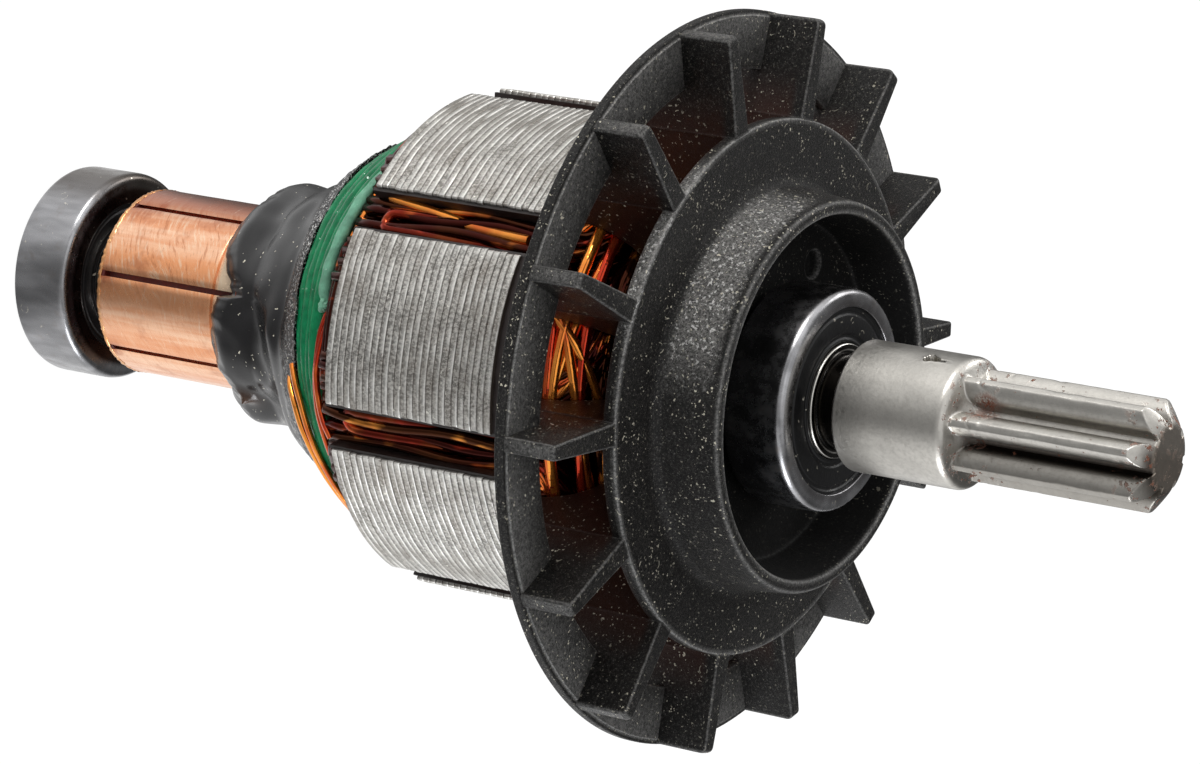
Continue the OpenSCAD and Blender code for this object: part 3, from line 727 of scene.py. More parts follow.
def sheet_finish(colours):
    """Sheets' edges: grey steel with brown lines between, brighter towards the teeth's edges by the slots,
    darker towards -X as painted shade, and burr lines and specks painted near-white as glints.
    """
    material, tree, sockets = new_finish("Core sheets")
    here = object_coordinates(tree)
    fine = noise(tree, here, 4400.0, 3.0, 0.75, stretch=(1.0, 1.0, 0.7))
    film = noise(tree, here, 190.0, 4.0, 0.6)
    gap = mark_value(tree, "gap")
    burr = mark_value(tree, "burr")
    bright_edges = mark_value(tree, "bright_edges")
    base = shaded(tree, ranged(tree, fine, 0.4, 0.62), colours.sheet, 0.4, 1.35)
    base = over(tree, base, ranged(tree, film, 0.35, 0.7, 0.1, 0.5), (0.235, 0.20, 0.165))
    # Brighter towards the teeth's edges by the slots.
    base = over(tree, base, bright_edges, (0.80, 0.79, 0.76), 0.55)
    # Painted shade: the sheets are darker towards -X.
    across = axis_parts(tree, here)["X"]
    base = over(tree, base, ranged(tree, across, -0.011, -0.019, 0.0, 0.55), (0.20, 0.185, 0.16))
    # Painted glints: the burr line on each sheet is near-white.
    base = over(tree, base, burr, (0.95, 0.94, 0.90), 0.95)
    base = over(tree, base, gap, colours.sheet_gap)
    pits = dust_mask(tree, here, 3800.0, 0.08)
    base = over(tree, base, pits, (0.11, 0.075, 0.05), 0.55)
    # Painted glints: near-white specks.
    moved = vector_maths(tree, "ADD", here, (0.013, 0.027, 0.005))
    painted_burr_glints = dust_mask(tree, moved, 3100.0, 0.045)
    base = over(tree, base, painted_burr_glints, (0.98, 0.96, 0.88), 0.8)
    tree.links.new(base, sockets["Base Color"])
    tree.links.new(ranged(tree, gap, 0.0, 0.6, 0.8, 0.1), sockets["Metallic"])
    tree.links.new(ranged(tree, fine, 0.3, 0.7, 0.3, 0.46), sockets["Roughness"])
    raise_by(tree, sockets, noise(tree, here, 5200.0, 3.0, 0.7), 0.00003)
    return material


def wire_finish(colours):
    """Enamelled wire: copper seen through a red to amber coat, each wire with its own depth, and patches
    darkened nearly black as painted shade.
    """
    material, tree, sockets = new_finish(
        "Enamelled wire", Metallic=0.88, Coat_Weight=0.3, Coat_Roughness=0.04
    )
    here = object_coordinates(tree)
    uneven = ranged(tree, noise(tree, here, 330.0, 2.0), 0.3, 0.7, -0.25, 0.25)
    depth = plus(tree, mark_value(tree, "tint"), uneven)
    shown = over(tree, rgba(colours.wire_dark), ranged(tree, depth, 0.0, 1.0), colours.wire_light)
    # Painted shade: where the wires' mark asks, patches go nearly black.
    patchy = ranged(tree, noise(tree, here, 420.0, 3.0, 0.6, stretch=(1.0, 1.0, 0.3)), 0.5, 0.68, 1.0, 0.15)
    painted_shade = times(tree, mark_value(tree, "painted_shade"), patchy, clamp=True)
    shown = over(tree, shown, painted_shade, (0.022, 0.002, 0.001), 0.96)
    tree.links.new(ranged(tree, painted_shade, 0.1, 0.9, 0.3, 0.04), sockets["Coat Weight"])
    dirt = ranged(tree, noise(tree, here, 900.0, 4.0, 0.7), 0.62, 0.74, 0.0, 0.4)
    tree.links.new(blend_colour(tree, dirt, shown, rgba((0.10, 0.02, 0.01))), sockets["Base Color"])
    tree.links.new(ranged(tree, dirt, 0.0, 0.4, 0.11, 0.3), sockets["Roughness"])
    raise_by(tree, sockets, noise(tree, here, 1800.0, 2.0), 0.00002)
    return material


def sleeve_finish(colours):
    """The black sleeve: semi-gloss, scuffed and rough at its wide end, with dust, and pale crumbs painted
    there as sparkle, more of them towards -X.
    """
    material, tree, sockets = new_finish("Sleeve", Specular_IOR_Level=0.55)
    here = object_coordinates(tree)
    around = use_group(tree, "Round the shaft", Vector=here)
    cloud = noise(tree, here, 260.0, 4.0, 0.6)
    shown = shaded(tree, ranged(tree, cloud, 0.3, 0.75), colours.sleeve, 0.8, 1.9)
    shown = over(tree, shown, mark_value(tree, "stain"), colours.sleeve_stain)
    dust = dust_mask(tree, here, 3000.0, 0.07, 0.08)
    shown = over(tree, shown, dust, colours.dust, 0.85)
    crust = ranged(tree, around["Height"], 0.0345, 0.0362)
    across = axis_parts(tree, here)["X"]
    # Painted sparkle: pale crumbs at the wide end, stronger towards -X.
    on_top = ranged(tree, across, -0.001, -0.006, 0.5, 1.0)
    left_top = ranged(tree, across, -0.004, -0.008)
    left_top = times(tree, ranged(tree, around["Height"], 0.0328, 0.0352), left_top)
    wide = maths(tree, "MAXIMUM", crust, left_top)
    painted_sparkle_crumbs = times(tree, ranged(tree, noise(tree, here, 3800.0, 3.0, 0.8), 0.52, 0.64), wide)
    shown = over(tree, shown, times(tree, painted_sparkle_crumbs, on_top), (0.80, 0.79, 0.78))
    tree.links.new(shown, sockets["Base Color"])
    tree.links.new(ranged(tree, cloud, 0.3, 0.7, 0.11, 0.25), sockets["Roughness"])
    fine = times(tree, noise(tree, here, 5200.0, 4.0, 0.7), ranged(tree, crust, 0.0, 1.0, 0.1, 1.0))
    raise_by(tree, sockets, fine, 0.00012)
    return material


def varnish_finish(name, base, rough, coat, shine):
    """Varnished cord: streaks along the strand, drips that shine, its edges darkened as painted shade where
    strands meet, and pale specks painted as glints, more towards -X.
    """
    coats = {"Coat_Weight": coat, "Coat_Roughness": 0.05, "Specular_IOR_Level": shine}
    material, tree, sockets = new_finish(name, **coats)
    here = object_coordinates(tree)
    streak = noise(tree, here, 700.0, 3.0, 0.6)
    shown = shaded(tree, ranged(tree, streak, 0.3, 0.7), base, 0.75, 1.3)
    # Painted shade: the strand goes dark along its edges, where it meets its neighbours.
    groove = ranged(tree, mark_value(tree, "edge"), 0.8, 1.0, 0.0, 0.8)
    shown = over(tree, shown, groove, (0.05, 0.035, 0.010))
    # Painted glints: pale specks, more towards -X.
    painted_glints = dust_mask(tree, here, 2700.0, 0.06)
    across = axis_parts(tree, here)["X"]
    painted_glints = times(tree, painted_glints, ranged(tree, across, -0.001, -0.007, 0.15, 1.0))
    shown = over(tree, shown, painted_glints, (0.75, 0.95, 0.82))
    tree.links.new(shown, sockets["Base Color"])
    tree.links.new(ranged(tree, streak, 0.3, 0.7, rough, rough + 0.15), sockets["Roughness"])
    raise_by(tree, sockets, noise(tree, here, 2200.0, 3.0, 0.6), 0.00006)
    return material


def plastic_finish(colours):
    """Black moulding: a spark-eroded grain with pale specks painted as glints, and pale dust, with painted
    highlights on the collar's side, on the disc's edge and along the edges, painted shade in the recess,
    and a painted reddish bounce from the coils low on the blades.
    """
    material, tree, sockets = new_finish("Fan plastic", Specular_IOR_Level=0.18)
    here = object_coordinates(tree)
    cloud = noise(tree, here, 170.0, 4.0, 0.6)
    grain = noise(tree, here, 4200.0, 5.0, 0.85)
    shown = shaded(tree, ranged(tree, cloud, 0.3, 0.75), colours.plastic, 0.6, 1.5)
    shown = over(tree, shown, ranged(tree, grain, 0.5, 0.42), (0.002, 0.002, 0.002))
    shown = over(tree, shown, ranged(tree, grain, 0.51, 0.66), (0.058, 0.054, 0.05))
    # Painted glints: pale specks in the grain.
    painted_sparkle = ranged(tree, noise(tree, here, 5200.0, 2.0, 0.7), 0.6, 0.7)
    shown = over(tree, shown, painted_sparkle, (0.34, 0.33, 0.31), 0.3)
    # Painted highlight on the collar's wall near -124 degrees and on the disc's edge, speckled by the
    # grain.
    painted_highlight = times(tree, mark_value(tree, "painted_highlight"), ranged(tree, grain, 0.4, 0.6, 0.15, 1.0))
    shown = over(tree, shown, painted_highlight, (0.30, 0.295, 0.285), 0.7)
    grains = ranged(tree, noise(tree, here, 3000.0, 2.0, 0.7), 0.56, 0.66)
    flecks = times(tree, mark_value(tree, "painted_highlight"), grains)
    shown = over(tree, shown, flecks, (0.62, 0.615, 0.60))
    # Painted shade: the recess inside the collar goes nearly black.
    painted_recess_shade = mark_value(tree, "painted_recess_shade")
    shown = over(tree, shown, painted_recess_shade, (0.0015, 0.0015, 0.0015), 0.85)
    # Painted highlights along the edges marked by the fan, speckled by the grain.
    bright_edges = times(tree, mark_value(tree, "edge"), ranged(tree, grain, 0.4, 0.58, 0.2, 0.85))
    shown = over(tree, shown, bright_edges, (0.34, 0.335, 0.325))
    # Painted reflection: a reddish bounce from the coils on the blades' lower parts.
    around = use_group(tree, "Round the shaft", Vector=here)
    inward = ranged(tree, around["Radius"], 0.0275, 0.0225)
    painted_copper_bounce = times(tree, inward, ranged(tree, around["Height"], 0.0745, 0.0735))
    shown = over(tree, shown, painted_copper_bounce, (0.035, 0.009, 0.004), 0.75)
    fine = dust_mask(tree, here, 3900.0, 0.3)
    coarse = dust_mask(tree, here, 2300.0, 0.03, 0.14)
    gathered = ranged(tree, noise(tree, here, 120.0, 3.0, 0.6), 0.38, 0.62, 0.12, 1.0)
    dust = times(tree, maths(tree, "MAXIMUM", fine, coarse), gathered)
    dust = times(tree, dust, ranged(tree, painted_recess_shade, 0.0, 1.0, 0.8, 0.2))
    shown = over(tree, shown, dust, colours.dust)
    tree.links.new(shown, sockets["Base Color"])
    satin = ranged(tree, cloud, 0.3, 0.7, 0.33, 0.46)
    tree.links.new(plus(tree, satin, times(tree, painted_recess_shade, 0.35)), sockets["Roughness"])
    raise_by(tree, sockets, plus(tree, grain, dust), 0.00014, 0.8)
    return material


# ---------------------------------------------------------------- pieces

FULL_TURN = np.linspace(0, 360, 160, endpoint=False)


def bearing_profiles(bore, edge, lip):
    """Outlines (r, z) of a bearing's outer ring, inner ring and seal, from its rear face at z 0.

    The ring's face reaches in to the lip's radius, in front of the seal's seat.
    """
    outer, width, seat, inset, seal_t = 9.5, 6.0, 8.0, 0.25, 0.5
    pitch, ball = (outer + bore) / 2, 0.58 * (outer - bore) / 2
    shoulder, depth = bore + 0.9, inset + seal_t
    race = ball + 0.05
    half_arc = math.degrees(math.acos(0.7 * ball / race))
    bend = np.radians(np.linspace(half_arc, -half_arc, 13))
    groove = np.stack([pitch + race * np.cos(bend), width / 2 + race * np.sin(bend)], 1)
    land = groove[0, 0]
    ring = rounded(
        [(lip, 0), (outer, 0), (outer, width), (lip, width), (lip, width - inset), (seat, width - inset)]
        + [(seat, width - depth), (land, width - depth)],
        [0.12, edge, edge, 0.12, 0, 0, 0, 0],
        9,
    )
    ring = np.vstack([ring, groove, [(land, depth), (seat, depth), (seat, inset), (lip, inset)]])
    inner_groove = np.stack([pitch - race * np.cos(bend[::-1]), width / 2 + race * np.sin(bend[::-1])], 1)
    low = inner_groove[0, 0]
    inner = rounded(
        [(low, width - depth - 0.1), (shoulder, width - depth - 0.1), (shoulder, width), (bore, width)]
        + [(bore, 0), (shoulder, 0), (shoulder, depth + 0.1), (low, depth + 0.1)],
        [0, 0, 0.18, 0.2, 0.2, 0.18, 0, 0],
        5,
    )
    inner = np.vstack([inner, inner_groove])
    brush = shoulder + 0.08
    seal = rounded(
        [(seat, 0), (lip - 0.25, 0), (lip - 0.37, 0.12), (lip - 0.6, 0.12), (lip - 0.72, 0)]
        + [(brush + 0.75, 0.02), (brush + 0.6, 0.16), (brush + 0.34, 0.16), (brush + 0.22, 0.04)]
        + [(brush, 0.04), (brush, seal_t), (seat, seal_t)],
        [0.06] * 10 + [0.02, 0.02],
        3,
    )
    return ring, inner, seal


class ARMATURE_OT_bearings(bpy.types.Operator):
    """Builds both bearings: ground rings with rounded edges, and pressed rubber seals"""

    bl_idname = "armature.bearings"
    bl_label = "Bearings"

    def execute(self, context):
        sizes, colours = context.scene.armature_sizes, context.scene.armature_colours
        edge = sizes.ring_edge / MM
        bright = steel_finish("Bright steel", (0.66, 0.64, 0.60), 0.16, 0.000003, 0.05, 0.0822)
        rubber = matt_finish("Seal rubber", colours.rubber, 0.42, 700.0, 0.00003, 1.6, 0.08)
        rubber.node_tree.nodes["Principled BSDF"].inputs["Specular IOR Level"].default_value = 0.3
        for end, bore, base, lip, oil_and_shade in (
            ("rear", 3.5, 0.0, 6.85, 0.95),
            ("front", 4.0, FRONT_BEARING_Z, 7.95, 0.35),
        ):
            body = f"{end}_race"
            line_r = (lip + 0.7 * (end == "rear")) * MM
            ring_steel = ring_finish(f"Ring steel, {end}", colours.ring, line_r, oil_and_shade)
            seals = ("seal_out", "seal_in") if end == "rear" else ("seal_in", "seal_out")
            ring, inner, seal = bearing_profiles(bore, edge, lip)
            for name, outline, finish, slot, rides, node in (
                ("race", ring, ring_steel, "bearing_steel", body, "outer_ring"),
                ("cone", inner, bright, "bearing_steel", "armature", "inner_ring"),
                ("rear_seal", seal + (0, 0.25), rubber, "seal_rubber", body, seals[0]),
                ("front_seal", (0, 5.75) + seal * (1, -1), rubber, "seal_rubber", body, seals[1]),
            ):
                grid = turned(outline + (0, base), FULL_TURN)
                piece = make_piece(
                    f"{end}_bearing_{name}", [shell(grid, True)], finish, rides, [f"{end}_{node}"]
                )
                weight_normals(piece)
        return {"FINISHED"}


class ARMATURE_OT_commutator(bpy.types.Operator):
    """Builds the seven copper bars, with worn edges, a burr at one end and a step before the riser"""

    bl_idname = "armature.commutator"
    bl_label = "Commutator bars"

    def execute(self, context):
        sizes, colours = context.scene.armature_sizes, context.scene.armature_colours
        copper = copper_finish(colours)
        edge, half_slit, inner = sizes.bar_edge / MM, 0.25, 6.6
        arc_of_degree = 0.1466
        heights = np.concatenate([[9.1, 9.13, 9.2], np.linspace(9.3, 21.6, 42), [21.8, 21.9, 22.0, 22.15]])
        heights = np.concatenate([heights, [22.3, 22.5, 22.7, 22.85, 23.2, 24.0, 24.7, 24.77, 24.8]])
        radius = np.interp(
            heights,
            [9.1, 9.13, 9.2, 21.8, 21.95, 22.15, 22.35, 22.7, 24.7, 24.8],
            [8.25, 8.34, BAR_RADIUS, BAR_RADIUS, 8.33, 8.36, 8.6, 8.95, 8.95, 8.85],
        )[:, None]
        across = np.linspace(0, 1, 24)[None, :]
        drop = edge * (1 - np.sqrt(1 - np.clip(1 - np.minimum(across, 1 - across) * 40, 0, 1) ** 2))
        low = inner + 0 * radius
        for k in range(SLOTS):
            start, end = FIRST_TOOTH + k * PITCH, FIRST_TOOTH + (k + 1) * PITCH
            lean = np.degrees(np.arcsin(half_slit / radius))
            angle = (start + lean) + (PITCH - 2 * lean) * across
            z = heights[:, None] + 0 * across
            flat_place = np.stack([np.radians(angle) * BAR_RADIUS, z], -1)
            wave = waves(flat_place, 40 + k, 1.5, 7.0)
            rough = waves(flat_place, 90 + k, 0.25, 0.8)
            burr = smoothstep((9.55 - z) / 0.3) * (1 - drop / edge)
            top = radius - drop + 0.006 * wave + 0.05 * burr * (0.4 + rough)
            outer = round_grid(top, angle, z)
            inner_lean = np.degrees(np.arcsin(half_slit / low))
            inner_angle = (end - inner_lean) - (PITCH - 2 * inner_lean) * np.linspace(0, 1, 6)[None, :]
            base = round_grid(low, inner_angle, heights[:, None])
            grid = np.concatenate([outer, base], 1)
            from_slit = np.minimum(across, 1 - across) * PITCH * arc_of_degree + 0 * z
            by_slit = 0.7 * np.exp(-from_slit / 0.7) * smoothstep((11.8 - z) / 2.0 + 0.5 * wave)
            flat = np.zeros(base.shape[:2])
            marks = {
                "burr": np.concatenate([np.clip(burr, 0, 1), flat], 1),
                "by_slit": np.concatenate([by_slit, flat], 1),
            }
            piece = make_piece(
                f"bar_{k + 1}_turned", [shell(grid)], copper,
                stands_for=[f"commutator_bar_{k + 1}"], marks=marks,
            )
            weight_normals(piece)
        a = np.linspace(0, 360, 420, endpoint=False)
        place = np.stack([BAR_RADIUS * np.cos(np.radians(a)), BAR_RADIUS * np.sin(np.radians(a))], 1)
        ragged = waves(place, 140, 0.3, 0.9, 60)
        hem = 9.42 + 0.08 * waves(place, 141, 0.5, 2.2, 50)
        z = np.stack([9.12 + 0 * a, 9.1 + 0 * a, 9.12 + 0 * a, 9.3 + 0 * a, hem - 0.05, hem, hem - 0.04])
        rise = np.array([-0.3, 0.0, 0.045, 0.06, 0.04, 0.01, -0.3])[:, None]
        rise = rise + 0.03 * ragged * np.array([0, 0.5, 1, 1, 0.6, 0.2, 0])[:, None]
        ring = round_grid(BAR_RADIUS + rise, a, z)
        make_piece(
            "bar_end_burr", [shell(ring, True)], copper, sharp=60,
            marks={"burr": np.ones(ring.shape[:2]), "by_slit": np.zeros(ring.shape[:2])},
        )
        return {"FINISHED"}


def sheet_outline(rim):
    """One slot pitch of a sheet's outline, from the middle of a slot to the next, as (r, angle).

    Straight walls stand square to the slot's own axis or along the tooth's, so each point's angle is
    the arc sine of its offset over its radius.
    """
    mouth, stem, floor, head = 2.1, TOOTH_STEM, 9.0, 20.4

    def beside_slot(r):
        return np.degrees(np.arcsin(mouth / r))

    def beside_tooth(r):
        return PITCH / 2 - np.degrees(np.arcsin(stem / r))

    floor_arc = np.linspace(0, beside_tooth(floor), 4)
    under_head = np.linspace(beside_tooth(head), beside_slot(head), 6)
    r = np.concatenate([np.full(4, floor), [12.0, 16.0], np.full(6, head), [rim - 0.75, rim - 0.12]])
    a = np.concatenate([floor_arc, [beside_tooth(12.0), beside_tooth(16.0)], under_head])
    a = np.concatenate([a, [beside_slot(rim - 0.75), beside_slot(rim - 0.12)]])
    half_rim = np.linspace(beside_slot(rim) + 0.3, PITCH / 2, 14)
    r, a = np.concatenate([r, np.full(len(half_rim), rim)]), np.concatenate([a, half_rim])
    return np.concatenate([r, r[-2:0:-1]]), np.concatenate([a, PITCH - a[-2:0:-1]])


class ARMATURE_OT_core(bpy.types.Operator):
    """Builds the laminated core: each sheet a little out of line, with a burr on one edge"""

    bl_idname = "armature.core"
    bl_label = "Laminated core"

    def execute(self, context):
        sizes, colours = context.scene.armature_sizes, context.scene.armature_colours
        sheets, line = sizes.sheets, sizes.sheet_line / MM
        low, high, rim = 45.1, 62.1, 21.9
        pitch = (high - low) / sheets
        rng = np.random.default_rng(11)
        r, a = sheet_outline(rim)
        r = np.tile(r, SLOTS)
        a = (np.arange(SLOTS)[:, None] * PITCH + a[None, :]).ravel() + FIRST_SLOT
        at = np.array([0.0, 0.06, 0.11, 0.22, 0.66, 0.84, 0.93, 1.0])
        cut = np.array([1.0, 1.0, 0.12, 0.0, 0.0, -0.2, 0.25, 1.0])
        burr = np.array([0.0, 0.0, 0.1, 0.0, 0.45, 1.0, 0.5, 0.0])
        z = (low + pitch * (np.arange(sheets)[:, None] + at[None, :])).ravel()
        out = np.repeat(rng.normal(0, 0.008, sheets), len(at))[:, None]
        turn = np.repeat(rng.normal(0, 0.12, sheets), len(at))[:, None]
        depth = np.tile(cut, sheets)[:, None] * line
        depth[0], depth[-1] = 0.05, 0.05
        grow = smoothstep((r - 20.3) / 1.3)[None, :]
        wave = waves(spread(np.radians(a)[None, :] * rim, z[:, None] * 4), 5, 1.2, 6.0)
        z_wave = waves(np.radians(a)[:, None] * rim, 6, 4.0, 16.0)[None, :] * 0.05
        ripple = 0.008 * wave + out - depth * (1 + 0.15 * wave)
        radius = r[None, :] + np.minimum(ripple, 0.02) * grow
        height = np.clip(z[:, None] + z_wave * grow, low, high)
        height[0], height[-1] = low, high
        grid = round_grid(radius, a[None, :] + turn * grow, height)
        points, rows, cols = grid.reshape(-1, 3), len(z), len(a)
        bore_points = 64
        bore_turn = np.linspace(0, 360, bore_points, endpoint=False)
        bore = np.concatenate([round_grid(4.0, bore_turn, h) for h in (low, high)])
        ends = [Vector(p) for p in grid[0]], [Vector((p[0], p[1], low)) for p in bore[:bore_points]]
        caps = np.array(tessellate_polygon(ends))
        first = len(points)
        low_end = np.where(caps < cols, caps, first + caps - cols)
        high_end = np.where(caps < cols, (rows - 1) * cols + caps, first + bore_points + caps - cols)
        wall = first + lattice(2, bore_points)
        faces = [lattice(rows, cols)]
        points = np.vstack([points, bore])
        side_up = volume(points, faces) > 0
        faces = [faces[0] if side_up else faces[0][:, ::-1]]
        one, two, three = (points[low_end[:, i]] for i in range(3))
        down = np.cross(two - one, three - one)[:, 2:] < 0
        low_end = np.where(down, low_end, low_end[:, ::-1])
        high_end = np.where(down, high_end[:, ::-1], high_end)
        faces += [low_end, high_end, wall[:, ::-1]]
        in_bore = np.zeros(2 * bore_points)
        gap = np.broadcast_to(np.tile((cut > 0.9) * 1.0, sheets)[:, None], (rows, cols)).ravel()
        gap = np.concatenate([gap, in_bore])
        # The burr lines, which the sheets' finish paints near-white as glints.
        lit = (np.tile(burr, sheets)[:, None] * np.clip(0.55 + 0.6 * wave, 0, 1)).ravel()
        lit = np.concatenate([lit, in_bore])
        # Brighter towards the teeth's edges by the slots.
        tooth = FIRST_TOOTH - np.round(turn_from(FIRST_TOOTH, a) / PITCH) * PITCH
        to_edge = PITCH / 2 - np.abs(turn_from(a, tooth))
        bright_edges = np.exp(-np.clip(to_edge - 5.6, 0, None) / 1.1)[None, :] * np.clip(0.7 + 0.5 * wave, 0, 1)
        make_piece(
            "core_sheets", [(points, faces)], sheet_finish(colours),
            stands_for=["core"], sharp=30,
            marks={"gap": gap, "burr": lit, "bright_edges": np.concatenate([bright_edges.ravel(), in_bore])},
        )
        return {"FINISHED"}


def head_limit_front(z):
    """Largest radius of the fan-end head at a height: a quarter ellipse round a flat crown."""
    return CROWN + DOME_REACH * np.sqrt(1 - np.clip((z - DOME_FOOT) / DOME_RISE, 0, 1) ** 2)


def head_limit_rear(z):
    """Largest radius of the commutator-end head at a height: a cone that opens towards the core."""
    return np.where(z > 43.2, 20.2, 14.6 + (np.minimum(z, 43.2) - 36.1) * 0.5634)


def coil_paths(k, wire):
    """Closed paths of one coil's turns, as an array of turns by points by three.

    In a slot a turn runs straight up at its own place (x along the slot's axis, y across it). In a
    head, with s from 0 to 1 and u the distance of s from the middle in halves, its radius is
    r_cross + (r_slot - r_cross) u^0.75, its height rises by h (1 - u^q), and its angle goes from one
    slot to the other.
    """
    rng = np.random.default_rng(300 + k)
    rows_x = np.arange(19.85, 12.6, -wire * 0.96)
    wide = np.tan(HALF_PITCH) * rows_x - (TOOTH_STEM + 0.35 + wire / 2) / math.cos(HALF_PITCH)
    places = [
        (x, wire * 0.55 + wire * 1.02 * j)
        for x, w in zip(rows_x, wide)
        for j in range(max(1, int((w - wire * 0.55) / (wire * 1.02)) + 1))
    ]
    x, y = np.array(places).T
    x = x + rng.normal(0, 0.1, len(x))
    y = y + rng.normal(0, 0.06, len(y))
    radius, lean = np.hypot(x, y), np.degrees(np.arctan2(y, x))
    depth = np.clip((x - 12.6) / 7.2, 0, 1)
    here, there = FIRST_SLOT + k * PITCH, FIRST_SLOT + (k + 3) * PITCH
    late = k / (SLOTS - 1)
    s = np.linspace(0, 1, 34)[1:-1][None, :]
    u = np.abs(2 * s - 1)
    swing = 0.45 * s + 0.55 * smoothstep(s)
    jitter = rng.normal(0, 1, (3, len(x), 1))
    cross = (5.9 + 4.5 * depth + 5.6 * late)[:, None] + 0.35 * jitter[0]

    def head(start, end, base, rise, power, limit, highest):
        ripple = np.sin(s * np.pi * 3 + jitter[1] * 3) * np.sin(np.pi * s)
        r = cross + (radius[:, None] - cross) * u**0.75 + 0.3 * ripple
        z = base + rise * (1 - u**power) + 0.22 * np.sin(s * np.pi * 2 + jitter[2] * 3) * np.sin(np.pi * s)
        z = soft_min(z, highest + 0.2 * jitter[0], 0.5)
        r = np.maximum(np.minimum(r, limit(z) - wire / 2), 5.1 + wire / 2)
        return round_grid(r, start[:, None] + (end - start)[:, None] * swing, z)

    rise_front = (1.0 + 2.4 * depth + 2.4 * late)[:, None] + 0.3 * jitter[1]
    rise_rear = (1.6 + 2.6 * depth + 2.6 * late)[:, None] + 0.25 * jitter[2]
    slot_z = np.linspace(43.9, 63.6, 15)[None, :]
    middle = np.sin(np.pi * (slot_z - 43.0) / 21.4)
    belly = 0.32 * middle * (0.5 + jitter[0]) * (depth[:, None] > 0.85)
    tangle = 0.25 * np.sin((slot_z - 43) * 0.45 + jitter[1] * 4) * depth[:, None]

    def straight(base, sign, z):
        sx = np.minimum(x[:, None] + belly, 20.35)
        sy = sign * np.maximum(y[:, None] + tangle, wire * 0.3)
        return round_grid(np.hypot(sx, sy), base + np.degrees(np.arctan2(sy, sx)), z)

    up = straight(here, 1, slot_z)
    down = straight(there, -1, slot_z)[:, ::-1]
    front = head(here + lean, there - lean, 64.0, rise_front, 3.0 + 2.5 * late, head_limit_front, 69.3)
    rear = head(there - lean, here + lean, 43.2, -rise_rear, 2.2 + 2.0 * late, head_limit_rear, 60.0)
    # Painted shade on the wires: throughout the slots and the heads, most at the slots' rear ends.
    dark = np.where(np.arange(15) < 2, 6.0, 1.25)
    in_slot = np.concatenate([dark, np.full(32, 1.5), dark[::-1], np.full(32, 1.5)])
    return np.concatenate([up, front, down, rear], 1), in_slot


